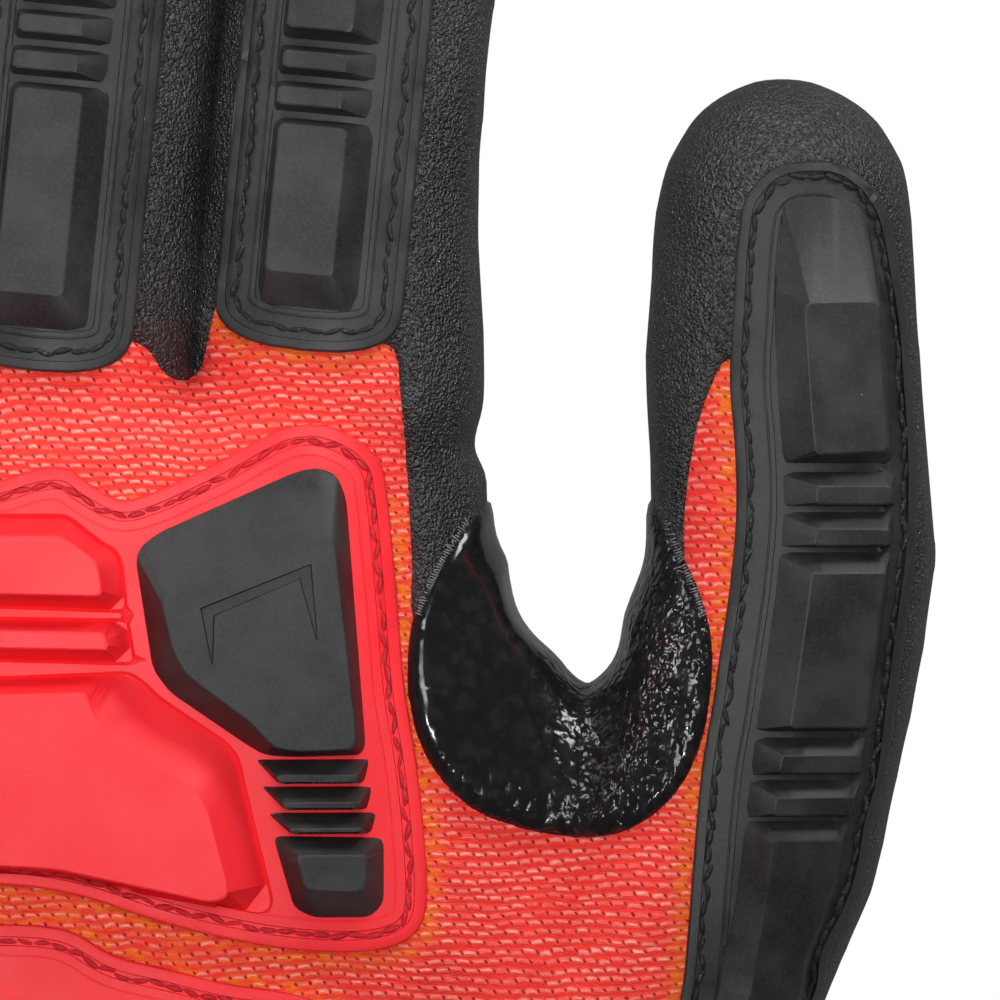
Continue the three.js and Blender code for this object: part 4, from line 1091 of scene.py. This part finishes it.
def knit_group():
    """Plain knit: rows of short stitches flecked with pale fibres, with painted shade in the holes at their ends and
    between the rows, and painted highlights on the stitch crowns.
    """
    group = Group(
        "knit_stitches",
        [("Yarn", "NodeSocketColor", None), ("Gaps", "NodeSocketColor", None), ("Flecks", "NodeSocketColor", None),
         ("Accent", "NodeSocketColor", None), ("Accent share", "NodeSocketFloat", 0.0)],
        [("Color", "NodeSocketColor"), ("Height", "NodeSocketFloat"), ("Roughness", "NodeSocketFloat")])
    yarn = group.node("UVMap", {"uv_map": "yarn"}).outputs[0]
    moved = yarn
    for scale, size in ((0.07, 2.6), (0.5, 0.42)):
        wobble = group.node("TexNoise", Vector=yarn, Scale=scale, Detail=2.0)
        shift = group.node("VectorMath", {"operation": "SUBTRACT"})
        group.feed(shift.inputs[0], wobble.outputs["Color"])
        group.feed(shift.inputs[1], (0.5, 0.5, 0.5))
        sum_of = group.node("VectorMath", {"operation": "MULTIPLY_ADD"})
        group.feed(sum_of.inputs[0], shift.outputs[0])
        group.feed(sum_of.inputs[1], (size, size, 0.0))
        group.feed(sum_of.inputs[2], moved)
        moved = sum_of.outputs[0]
    axes = group.node("SeparateXYZ", Vector=moved).outputs
    row = group.math("DIVIDE", axes[1], STITCH_ROW)
    row_number = group.math("FLOOR", row)
    up = group.math("SUBTRACT", group.math("FRACT", row), 0.5)
    odd = group.math("MULTIPLY", group.math("PINGPONG", row_number, 1.0), 0.5)
    column = group.math("ADD", group.math("DIVIDE", axes[0], STITCH_WIDTH), odd)
    column = group.math("ADD", column, group.math("MULTIPLY", up, 0.28))
    column_number = group.math("FLOOR", column)
    side = group.math("SUBTRACT", group.math("FRACT", column), 0.5)
    cell = group.node("CombineXYZ", X=column_number, Y=row_number).outputs[0]
    chance = group.node("TexWhiteNoise", {"noise_dimensions": "2D"}, Vector=cell)
    chances = group.node("SeparateColor", Color=chance.outputs["Color"]).outputs
    patches = group.step(group.noise(group.scaled(moved, 0.2, 0.2, 1.0), 1.0, 3.0), 0.35, 0.65)
    to_end = group.math("SUBTRACT", 0.5, group.math("ABSOLUTE", side))
    across = group.math("DIVIDE", to_end, 0.1)
    along = group.math("DIVIDE", group.math("ADD", up, -0.04), 0.2)
    hole = group.math("ADD", group.math("MULTIPLY", across, across), group.math("MULTIPLY", along, along))
    hole = group.math("SUBTRACT", 1.0, group.step(hole, 0.35, 1.5))
    hole = group.math("MULTIPLY", hole, group.span(chances[2], 0.55, 1.0))
    # Darker lines in the troughs between the rows of stitches: painted shade.
    painted_row_shade = group.math("MULTIPLY", group.step(group.math("ABSOLUTE", up), 0.25, 0.52), group.span(patches, 0.9, 0.3))
    strands = group.node("TexNoise", Vector=group.scaled(moved, 1.6, 6.0, 1.0), Scale=1.0, Detail=3.0).outputs[0]
    strand = group.step(strands, 0.4, 0.62)
    level = group.math("SUBTRACT", up, group.span(chances[1], -0.1, 0.3))
    level = group.math("ADD", level, group.math("MULTIPLY", group.math("MULTIPLY", side, side), 0.7))
    dash = group.math("SUBTRACT", 1.0, group.step(group.math("ABSOLUTE", level), 0.03, 0.15))
    length = group.math("SUBTRACT", 1.0, group.step(group.math("ABSOLUTE", side), 0.12, 0.45))
    bright = group.math("MULTIPLY", group.step(chance.outputs["Value"], 0.15, 0.9), group.span(patches, 0.4, 1.0))
    fleck = group.math("MULTIPLY", group.math("MULTIPLY", dash, length), bright)
    fleck = group.math("MULTIPLY", fleck, group.span(strand, 0.5, 1.0))
    # A paler crown along each stitch's body: partly painted highlight on the stitch tops, partly pale fibres in the
    # yarn.
    body = group.math("SUBTRACT", 1.0, group.step(group.math("ABSOLUTE", level), 0.08, 0.34))
    body = group.math("MULTIPLY", body, group.math("SUBTRACT", 1.0, group.step(group.math("ABSOLUTE", side), 0.3, 0.5)))
    body = group.math("MULTIPLY", body, group.span(chances[0], 0.16, 0.5))
    body = group.math("MULTIPLY", body, group.span(strand, 0.55, 1.1))
    base = group.blend(body, group.inputs["Yarn"], group.inputs["Flecks"])
    broken = group.step(group.noise(group.scaled(moved, 0.55, 1.1, 1.0), 1.0, 3.0), 0.38, 0.6)
    share = group.math("MULTIPLY", group.inputs["Accent share"], group.span(chances[1], 0.5, 1.5))
    share = group.math("MULTIPLY", share, group.span(broken, 0.1, 1.15))
    base = group.blend(group.math("MULTIPLY", share, 1.0, clamp=True), base, group.inputs["Accent"])
    # Mixes the troughs between rows toward the shade colour: painted shade.
    base = group.blend(group.math("MULTIPLY", painted_row_shade, 0.32), base, group.inputs["Gaps"])
    base = group.blend(group.math("MULTIPLY", fleck, 0.9), base, group.inputs["Flecks"])
    # The holes at the stitch ends take the shade colour in full: painted shade in the holes.
    base = group.blend(hole, base, group.inputs["Gaps"])
    bow = group.math("MULTIPLY", group.math("COSINE", group.math("MULTIPLY", up, 2 * math.pi)), 0.4)
    height = group.math("SUBTRACT", bow, group.math("MULTIPLY", hole, 0.9))
    height = group.math("ADD", height, group.math("MULTIPLY", strand, 0.4))
    group.feed(group.outputs["Color"], base)
    group.feed(group.outputs["Height"], height)
    group.feed(group.outputs["Roughness"], group.span(hole, 0.65, 0.95))
    return group.tree


def wrinkle_group():
    """Wrinkles of the glossy saddle: drawn out, strongest at the right and along the lower rim, with a tone that paints
    shade into the crease troughs.
    """
    group = Group("wrinkles", [], [("Height", "NodeSocketFloat"), ("Roughness", "NodeSocketFloat"),
                                   ("Tone", "NodeSocketFloat")])
    places = group.place()
    axes = group.node("SeparateXYZ", Vector=places).outputs
    right = group.step(axes[0], 0.051, 0.061)
    low = group.math("SUBTRACT", 1.0, group.step(axes[1], 0.004, 0.012))
    worked = group.math("MAXIMUM", right, low)
    drawn = group.noise(group.scaled(places, 1.0, 0.5, 1.0), 1150.0, 1.0, 0.5)
    crease = group.noise(places, 420.0, 2.0, 0.5)
    crease = group.math("ABSOLUTE", group.math("SUBTRACT", crease, 0.5))
    fine = group.noise(places, 3600.0, 1.0, 0.5)
    height = group.math("ADD", group.math("MULTIPLY", drawn, 0.7), group.math("MULTIPLY", crease, 2.4))
    height = group.math("ADD", height, group.math("MULTIPLY", fine, 0.06))
    group.feed(group.outputs["Height"], group.math("MULTIPLY", height, group.span(worked, 0.03, 1.0)))
    shine = group.span(group.step(drawn, 0.35, 0.7), 0.11, 0.2)
    group.feed(group.outputs["Roughness"], shine)
    # Tone: 0 in the crease troughs, 1 between them, so the colour is darker in the creases: painted shade.
    group.feed(group.outputs["Tone"], group.step(crease, 0.0, 0.2))
    return group.tree


_groups, _materials = {}, {}
GROUPS = {"grain": grain_group, "rubber": rubber_group, "knit": knit_group, "wrinkles": wrinkle_group}


class Finish:
    """A material with one Principled shader and the groups that feed it."""

    def __init__(self, name, base, roughness, **values):
        self.material = bpy.data.materials.new(name)
        self.material.use_nodes = True
        self.tree = self.material.node_tree
        self.shader = self.tree.nodes["Principled BSDF"]
        self.shader.inputs["Base Color"].default_value = (*base, 1)
        self.shader.inputs["Roughness"].default_value = roughness
        for key, value in values.items():
            self.shader.inputs[key.replace("_", " ")].default_value = value

    def group(self, name, **inputs):
        if name not in _groups:
            _groups[name] = GROUPS[name]()
        made = self.tree.nodes.new("ShaderNodeGroup")
        made.node_tree = _groups[name]
        for key, value in inputs.items():
            socket = made.inputs[key.replace("_", " ")]
            if isinstance(value, bpy.types.NodeSocket):
                self.tree.links.new(value, socket)
            else:
                socket.default_value = (*value, 1) if isinstance(value, tuple) else value
        return made.outputs

    def link(self, output, name):
        self.tree.links.new(output, self.shader.inputs[name])

    def bump(self, height, strength, distance):
        made = self.tree.nodes.new("ShaderNodeBump")
        made.inputs["Strength"].default_value = strength
        made.inputs["Distance"].default_value = distance
        self.tree.links.new(height, made.inputs["Height"])
        self.link(made.outputs[0], "Normal")

    def mix(self, share, a, b):
        made = self.tree.nodes.new("ShaderNodeMix")
        made.data_type = "RGBA"
        for socket, value in ((made.inputs[0], share), (made.inputs[6], a), (made.inputs[7], b)):
            if isinstance(value, bpy.types.NodeSocket):
                self.tree.links.new(value, socket)
            else:
                socket.default_value = (*value, 1)
        return made.outputs[2]


def lighter(shade, share):
    return tuple(c + (1 - c) * share for c in shade)


def sandy_finish(name, colours):
    finish = Finish(name, colours["coat"], 0.5, Specular_IOR_Level=0.8)
    grain = finish.group("grain", Size=2700.0)
    finish.link(finish.mix(grain["Tone"], colours["coat"], lighter(colours["coat"], 0.012)), "Base Color")
    finish.link(grain["Roughness"], "Roughness")
    finish.bump(grain["Height"], 1.0, 0.0005)
    return finish.material


def saddle_finish(name, colours):
    finish = Finish(name, colours["saddle"], 0.25, Specular_IOR_Level=0.5)
    wrinkles = finish.group("wrinkles")
    # Darker base colour in the crease troughs, lighter between them: painted shade in the creases.
    finish.link(finish.mix(wrinkles["Tone"], colours["saddle"], lighter(colours["saddle"], 0.006)), "Base Color")
    finish.link(wrinkles["Roughness"], "Roughness")
    finish.bump(wrinkles["Height"], 0.6, 0.0005)
    return finish.material


def rubber_finish(name, colours, shade, worn):
    finish = Finish(name, shade, 0.55, Specular_IOR_Level=0.42)
    rubber = finish.group("rubber", Base=shade, Worn=worn)
    finish.link(rubber["Color"], "Base Color")
    finish.link(rubber["Roughness"], "Roughness")
    finish.bump(rubber["Height"], 0.3, 0.00006)
    return finish.material


def knit_finish(name, colours):
    finish = Finish(name, colours["knit"], 0.8, Specular_IOR_Level=0.3)
    accent = finish.tree.nodes.new("ShaderNodeAttribute")
    accent.attribute_name = "accent"
    knit = finish.group("knit", Yarn=colours["knit"], Gaps=colours["knit_deep"], Flecks=colours["fleck"],
                        Accent=colours["accent"], Accent_share=accent.outputs["Fac"])
    finish.link(knit["Color"], "Base Color")
    finish.link(knit["Roughness"], "Roughness")
    finish.bump(knit["Height"], 0.7, 0.0003)
    return finish.material


def thread_finish(name, shade):
    finish = Finish(name, shade, 0.75)
    grain = finish.group("grain", Size=2600.0)
    # Paler colour at the polished tops of some grains: painted glints.
    finish.link(finish.mix(grain["Grains"], shade, lighter(shade, 0.06)), "Base Color")
    finish.bump(grain["Height"], 0.7, 0.0001)
    return finish.material


def floor_finish(name, colours):
    """White to the eye and in reflections, a dim reflector otherwise."""
    finish = Finish(name, colours["floor"], 0.8)
    nodes, links = finish.tree.nodes, finish.tree.links
    glow, path, mix = (nodes.new("ShaderNode" + kind) for kind in ("Emission", "LightPath", "MixShader"))
    glow.inputs["Color"].default_value = (1, 1, 1, 1)
    dimmed = nodes.new("ShaderNodeMath")
    dimmed.operation = "MULTIPLY_ADD"
    links.new(path.outputs["Is Camera Ray"], dimmed.inputs[0])
    dimmed.inputs[1].default_value, dimmed.inputs[2].default_value = 1 - FLOOR_GLOSS, FLOOR_GLOSS
    links.new(dimmed.outputs[0], glow.inputs["Strength"])
    either = nodes.new("ShaderNodeMath")
    either.operation = "MAXIMUM"
    links.new(path.outputs["Is Camera Ray"], either.inputs[0])
    links.new(path.outputs["Is Glossy Ray"], either.inputs[1])
    links.new(either.outputs[0], mix.inputs[0])
    links.new(finish.shader.outputs[0], mix.inputs[1])
    links.new(glow.outputs[0], mix.inputs[2])
    links.new(mix.outputs[0], nodes["Material Output"].inputs["Surface"])
    return finish.material


FINISHES = {
    "knit": knit_finish,
    "coat": sandy_finish,
    "saddle": saddle_finish,
    "black": lambda name, c: rubber_finish(name, c, c["black"], lighter(c["black"], 0.035)),
    "red": lambda name, c: rubber_finish(name, c, c["red"], c["red_worn"]),
    "black_thread": lambda name, c: thread_finish(name, c["coat"]),
    "red_thread": lambda name, c: thread_finish(name, c["red_thread"]),
    "rim": lambda name, c: thread_finish(name, c["rim"]),
    "hem": lambda name, c: thread_finish(name, c["knit"]),
    "floor": floor_finish,
}


def material(name):
    if name not in _materials:
        group = bpy.context.scene.glove_colours
        colours = {key: tuple(getattr(group, key)) for key in GloveColours.__annotations__}
        _materials[name] = FINISHES[name](name, colours)
    return _materials[name]


# Operators
def window_field(points, top):
    """Distance from the knit window's edge, positive where the coat lies."""
    outline = curve(scaled(WINDOW))
    gap = -signed_distance(points[:, :2], outline)[0]
    return np.where(top, gap, 12.0)


def accent_yarn(points):
    """How much accent yarn shows at each place: beside the guards' sewn edges."""
    index = FINGER_GUARDS[0]
    paths = [
        (counterclockwise(curve(both_sides(PLATE))), 1.0, -100.0, 36.0, -100.0, 100.0),
        (counterclockwise(strip_outline(finger_place(index), index["length"], index["width"] / 2)), 0.9,
         30.0, 54.0, -100.0, 100.0),
        (thumb_outline(), 1.0, -30.0, 52.0, 60.0, 76.5),
        (counterclockwise(curve(both_sides(WRIST_GUARD))), 0.9, -40.0, 0.0, -100.0, 100.0),
    ]
    result = np.zeros(len(points))
    for outline, strength, low, high, left, right in paths:
        near = (points[:, 2] > 10) & (points[:, 1] > low) & (points[:, 1] < high)
        near &= (points[:, 0] > left) & (points[:, 0] < right)
        chosen = np.where(near)[0]
        gap = -signed_distance(points[chosen, :2], outline)[0]
        result[chosen] = np.maximum(result[chosen], strength * np.exp(-((gap - 0.3) / 1.15) ** 2))
    return result


def hem(loop, inward):
    """Threads wrapped over the cuff's edge, all round."""
    rng = np.random.default_rng(SEED + 41)
    parts = []
    for i in range(len(loop)):
        here, after = loop[i], loop[(i + 1) % len(loop)]
        tangent = (after - here) / max(np.linalg.norm(after - here), 1e-9)
        down = np.array([0.0, -1.0, 0.0])
        inner = inward[i]
        path = []
        for t in np.linspace(0, 1, 9):
            turn = math.pi * (t * 1.5 - 0.25)
            place = here + inner * (0.8 - 1.25 * math.cos(turn)) + down * (1.3 * math.sin(turn) - 0.9)
            path.append(place + tangent * (1.1 * t - 0.5 + rng.normal(0, 0.03)))
        parts.append(tube(path, np.full(9, 0.42), 5))
    return joined(parts)


class GLOVE_OT_liner(bpy.types.Operator):
    """Build the knit liner"""
    bl_idname = "glove.liner"
    bl_label = "Knit liner"

    def execute(self, context):
        base = cloth()
        end = base.vertices[:, 1].min() + 1.2
        made = cut_sheet(base.vertices, base.faces, base.vertices[:, 1] - end)
        outer = made["carried"](base.vertices)[made["used"]]
        add_piece("knit_liner_skin", outer, made["faces"], material("knit"), ["knit_liner"],
                  uv=yarn_places(outer), accent=accent_yarn(outer))
        self.build_inside(context, base, end)
        return {"FINISHED"}

    @staticmethod
    def build_inside(context, base, end):
        """The inside near the opening, and the hem over the edge."""
        thick = context.scene.glove_sizes.liner / MM
        field = np.minimum(base.vertices[:, 1] - end, INSIDE_END - base.vertices[:, 1])
        made = cut_sheet(base.vertices, base.faces, field)
        normals = made["carried"](base.normals)
        normals /= np.maximum(np.linalg.norm(normals, axis=1, keepdims=True), 1e-9)
        places = made["carried"](base.vertices)
        inner = (places - thick * normals)[made["used"]]
        faces = [tuple(reversed(face)) for face in made["faces"]]
        add_piece("knit_liner_inside", inner, faces, material("knit"), uv=yarn_places(inner),
                  accent=np.zeros(len(inner)))
        rim = places[made["used"]]
        rim = rim[np.abs(rim[:, 1] - end) < 0.02]
        centre = rim.mean(0)
        rim = rim[np.argsort(np.arctan2(rim[:, 2] - centre[2], (rim[:, 0] - centre[0]) * 0.4))]
        flat = resampled(rim[:, [0, 2]], 1.0)
        loop = np.column_stack([flat[:, 0], np.full(len(flat), end), flat[:, 1]])
        tangent = np.roll(flat, -1, axis=0) - np.roll(flat, 1, axis=0)
        tangent /= np.linalg.norm(tangent, axis=1, keepdims=True)
        inward = np.column_stack([-tangent[:, 1], np.zeros(len(flat)), tangent[:, 0]]) * np.sign(area_of(flat))
        vertices, faces = hem(loop, inward)
        add_piece("cuff_hem", vertices, faces, material("hem"))


class GLOVE_OT_coat(bpy.types.Operator):
    """Build the sandy coat"""
    bl_idname = "glove.coat"
    bl_label = "Sandy coat"

    def execute(self, context):
        base = cloth()
        sizes = context.scene.glove_sizes
        points = base.vertices
        wrist = points[:, 1] + 62.0
        field = np.minimum(window_field(points, base.top), wrist)
        vertices, faces, _ = layer(field, sizes.coat / MM, 0.8)
        add_piece("sandy_coat", vertices, faces, material("coat"), ["palm_coat"])
        return {"FINISHED"}


def frayed(path, lift):
    """Short fibres standing across the saddle's rim on both sides of the crotch."""
    rng = np.random.default_rng(SEED + 51)
    shown = (path[:, 1] > RIM_FROM) & (path[:, 1] < RIM_TO)
    across = path - np.roll(path, 1, axis=0)
    across = np.column_stack([-across[:, 1], across[:, 0]]) / np.linalg.norm(across, axis=1, keepdims=True)
    parts = []
    for place, side in zip(path[shown], across[shown]):
        if rng.random() < 0.1:
            continue
        reach = rng.uniform(0.25, 0.5)
        lean = rng.normal(0, 0.2, 2)
        line = place + np.linspace(-reach, reach, 5)[:, None] * (side + lean)
        top = skin().top(line)
        bend = 0.12 * (1 - np.linspace(-1, 1, 5) ** 2)
        heights = top[:, 0] + (lift - 0.2) / np.clip(top[:, 1], 0.5, 1) + bend
        radii = rng.uniform(0.06, 0.1) * np.array([0.4, 1, 1.1, 1, 0.4])
        parts.append(tube(np.column_stack([line, heights]), radii, 5))
    return joined(parts)


class GLOVE_OT_saddle(bpy.types.Operator):
    """Build the smooth saddle in the thumb crotch"""
    bl_idname = "glove.saddle"
    bl_label = "Thumb saddle"

    def execute(self, context):
        base = cloth()
        sizes = context.scene.glove_sizes
        outline = curve(scaled(SADDLE))
        field = signed_distance(base.vertices[:, :2], outline)[0]
        vertices, faces, _ = layer(field, sizes.saddle / MM, 0.9)
        add_piece("smooth_saddle", vertices, faces, material("saddle"), ["thumb_saddle"])
        vertices, faces = frayed(inset(outline, 0.4, 0.28), sizes.saddle / MM)
        add_piece("saddle_rim", vertices, faces, material("rim"))
        return {"FINISHED"}


def counterclockwise(outline):
    return outline if area_of(outline) > 0 else outline[::-1]


def add_seam(name, outline, distance, lift, slot, seed):
    """Sewing thread along a moulding's channel."""
    sizes = bpy.context.scene.glove_sizes
    vertices, faces = stitches(inset(outline, distance), lift, sizes.stitch / MM, 0.5 * sizes.thread / MM, seed)
    shade = {"guard_black": "black_thread", "guard_red": "red_thread"}[slot]
    add_piece(name, vertices, faces, material(shade))


class GLOVE_OT_finger_guards(bpy.types.Operator):
    """Build the guards on the four fingers"""
    bl_idname = "glove.finger_guards"
    bl_label = "Finger guards"

    def execute(self, context):
        for number, guard in enumerate(FINGER_GUARDS):
            outline = counterclockwise(strip_outline(finger_place(guard), guard["length"], guard["width"] / 2))
            vertices, faces = moulded(outline, GUARD_PROFILE, finger_blocks(guard))
            add_piece(guard["name"] + "_moulding", vertices, faces, material("black"),
                      [guard["name"]], sharp=SHARP)
            add_seam(guard["name"] + "_stitching", outline, FINGER_SEAM, GUARD_CHANNEL, "guard_black", SEED + number)
        return {"FINISHED"}


class GLOVE_OT_thumb_guard(bpy.types.Operator):
    """Build the guard on the thumb"""
    bl_idname = "glove.thumb_guard"
    bl_label = "Thumb guard"

    def execute(self, context):
        outline = thumb_outline()
        vertices, faces = moulded(outline, GUARD_PROFILE, thumb_blocks())
        add_piece("thumb_guard_moulding", vertices, faces, material("black"), ["thumb_guard"],
                  sharp=SHARP)
        add_seam("thumb_guard_stitching", outline, THUMB_SEAM, GUARD_CHANNEL, "guard_black", SEED + 11)
        return {"FINISHED"}


def centre_block(foot, top, rise, radius):
    foot, top = counterclockwise(both_sides(foot)), counterclockwise(both_sides(top))
    return {"foot": rounded(foot, radius), "top": rounded(top, radius), "rise": rise, "groove": 0.45}


class GLOVE_OT_plate(bpy.types.Operator):
    """Build the red plate on the back"""
    bl_idname = "glove.plate"
    bl_label = "Back plate"

    def execute(self, context):
        rise = context.scene.glove_sizes.plate_rise / MM
        outline = counterclockwise(curve(both_sides(PLATE)))
        blocks = [centre_block(BODY_FOOT, BODY_TOP, rise, 0.7), centre_block(CROWN_FOOT, CROWN_TOP, rise, 0.7),
                  centre_block(BRIDGE_FOOT, BRIDGE_TOP, 0.85 * rise, 0.4)]
        vertices, faces = moulded(outline, PLATE_PROFILE, blocks)
        add_piece("back_plate_moulding", vertices, faces, material("red"), ["back_plate"], sharp=SHARP)
        add_seam("back_plate_stitching", outline, PLATE_SEAM, PLATE_CHANNEL, "guard_red", SEED + 21)
        return {"FINISHED"}


class GLOVE_OT_pads(bpy.types.Operator):
    """Build the black pads and ribs on the plate"""
    bl_idname = "glove.pads"
    bl_label = "Plate pads"

    def execute(self, context):
        rise = context.scene.glove_sizes.pad_rise / MM
        for side, turn, turned in (("right", lambda p: p, lambda p: p), ("left", mirrored, lambda p: p * (-1, 1))):
            def build(name, foot, top, height, radius, recess=None):
                foot, top = counterclockwise(turn(scaled(foot))), counterclockwise(turn(scaled(top)))
                hollow = None if recess is None else [turned(scaled(line)) for line in recess]
                block = {"foot": rounded(foot, radius), "top": rounded(top, 0.7 * radius), "rise": height}
                if len(foot) == len(top):
                    block["ridges"] = list(zip(foot, top))
                vertices, faces = pad(block, PLATE_PROFILE[-1][1], hollow)
                add_piece(f"{name}_{side}_block", vertices, faces, material("black"),
                          [f"{name}_{side}"], sharp=SHARP)

            build("knuckle_pad", KNUCKLE_FOOT, KNUCKLE_TOP, rise, 1.0, (BRACKET_OUTER, BRACKET_INNER))
            build("tail_pad", TAIL_FOOT, TAIL_TOP, 0.85 * rise, 0.7)
            for index, rib in enumerate(RIBS):
                high, low = rib["high"], rib["low"]
                foot = [(rib["left"], high), (rib["right"], high), (rib["right"] - 0.006, low),
                        (rib["left"] + RIB_LEAN, low)]
                top = [(rib["left"] + RIB_LEAN - 0.002, high - 0.0155), (rib["right"] - 0.012, high - 0.0155),
                       (rib["right"] - 0.014, low + 0.001), (rib["left"] + RIB_LEAN + 0.002, low + 0.001)]
                build(f"rib_{index + 1}", foot, top, 0.75 * rise, 0.25)
        return {"FINISHED"}


class GLOVE_OT_wrist_guard(bpy.types.Operator):
    """Build the red guard over the wrist"""
    bl_idname = "glove.wrist_guard"
    bl_label = "Wrist guard"

    def execute(self, context):
        outline = counterclockwise(curve(both_sides(WRIST_GUARD)))
        blocks = []
        for bar in WRIST_BARS:
            half, high, low = bar["half"], bar["high"], bar["low"]
            foot = scaled([(-half, low), (half, low), (half, high), (-half, high)])
            top = scaled([(0.014 - half, low + 0.01), (half - 0.014, low + 0.01),
                          (half - 0.014, high - 0.014), (0.014 - half, high - 0.014)])
            blocks.append(with_ridges(foot, top, 2.4, 0.8))
        vertices, faces = moulded(outline, PLATE_PROFILE, blocks)
        add_piece("wrist_guard_moulding", vertices, faces, material("red"), ["wrist_guard"],
                  sharp=SHARP)
        add_seam("wrist_guard_stitching", outline, PLATE_SEAM, PLATE_CHANNEL, "guard_red", SEED + 31)
        return {"FINISHED"}


VIEW_CENTRE = (0.051, 0.0355)
VIEW_WIDTH = 0.1
VIEW_HEIGHT = 2.0
SENSOR = 36.0


class GLOVE_OT_stage(bpy.types.Operator):
    """Set up the camera, floor and light"""
    bl_idname = "glove.stage"
    bl_label = "Stage"

    def execute(self, context):
        camera = bpy.data.objects.new("camera", bpy.data.cameras.new("camera"))
        camera.data.type = "PERSP"
        camera.data.sensor_width = SENSOR
        target = 0.022
        camera.data.lens = SENSOR * (VIEW_HEIGHT - target) / VIEW_WIDTH
        camera.data.clip_end = 10
        camera.location = (*VIEW_CENTRE, VIEW_HEIGHT)
        context.scene.collection.objects.link(camera)
        context.scene.camera = camera
        floor = bpy.data.meshes.new("floor")
        size = 2.0
        floor.from_pydata([(-size, -size, 0), (size, -size, 0), (size, size, 0), (-size, size, 0)], [],
                          [(0, 1, 2, 3)])
        floor.materials.append(material("floor"))
        stage = bpy.data.objects.new("floor", floor)
        stage.location.z = -0.0002
        context.scene.collection.objects.link(stage)
        top = self.light(context, "top light", (0.03, 0.11, 0.3), 0.12, 0.055, (0.03, 0.08, 0.02))
        top.data.spread = math.radians(60)
        self.light(context, "back light right", (0.25, 0.3, 0.12), 0.12, 0.6, (0.05, 0.04, 0.02))
        self.light(context, "back light left", (-0.1, 0.35, 0.15), 0.15, 0.38, (0.05, 0.04, 0.02))
        self.light(context, "side light", (-0.16, 0.13, 0.09), 0.05, 0.09, (0.065, 0.01, 0.03))
        self.light(context, "hard light", (0.0, -0.06, 0.5), 0.03, 0.5, (0.05, 0.02, 0.0))
        fill = self.light(context, "fill", (0.09, -0.02, 0.5), 0.35, 0.9, (0.05, 0.02, 0.0))
        fill.visible_glossy = False
        world = bpy.data.worlds.new("studio")
        world.use_nodes = True
        world.node_tree.nodes["Background"].inputs["Color"].default_value = (1, 1, 1, 1)
        world.node_tree.nodes["Background"].inputs["Strength"].default_value = 0.04
        context.scene.world = world
        context.scene.view_settings.view_transform = "Standard"
        return {"FINISHED"}

    @staticmethod
    def light(context, name, place, size, power, target):
        lamp = bpy.data.lights.new(name, "AREA")
        lamp.size = size
        lamp.energy = power
        holder = bpy.data.objects.new(name, lamp)
        holder.location = place
        direction = Vector(target) - Vector(place)
        holder.rotation_euler = direction.to_track_quat("-Z", "Y").to_euler()
        holder.visible_camera = False
        context.scene.collection.objects.link(holder)
        return holder


class GLOVE_PT_panel(bpy.types.Panel):
    """Lists the glove's pieces and sizes"""
    bl_idname = "GLOVE_PT_panel"
    bl_label = "Impact glove"
    bl_space_type = "VIEW_3D"
    bl_region_type = "UI"
    bl_category = "Glove"

    def draw(self, context):
        for operator in OPERATORS:
            self.layout.operator(operator.bl_idname)
        for group in (context.scene.glove_sizes, context.scene.glove_colours):
            for name in group.bl_rna.properties.keys():
                if name not in ("rna_type", "name"):
                    self.layout.prop(group, name)


OPERATORS = (
    GLOVE_OT_stage, GLOVE_OT_liner, GLOVE_OT_coat, GLOVE_OT_saddle, GLOVE_OT_finger_guards,
    GLOVE_OT_thumb_guard, GLOVE_OT_plate, GLOVE_OT_pads, GLOVE_OT_wrist_guard,
)
CLASSES = (GloveSizes, GloveColours, *OPERATORS, GLOVE_PT_panel)


def register():
    for item in CLASSES:
        bpy.utils.register_class(item)
    bpy.types.Scene.glove_sizes = PointerProperty(type=GloveSizes)
    bpy.types.Scene.glove_colours = PointerProperty(type=GloveColours)


def unregister():
    del bpy.types.Scene.glove_colours
    del bpy.types.Scene.glove_sizes
    for item in reversed(CLASSES):
        bpy.utils.unregister_class(item)


def main():
    register()
    for operator in OPERATORS:
        category, name = operator.bl_idname.split(".")
        getattr(getattr(bpy.ops, category), name)()


if __name__ == "__main__":
    main()
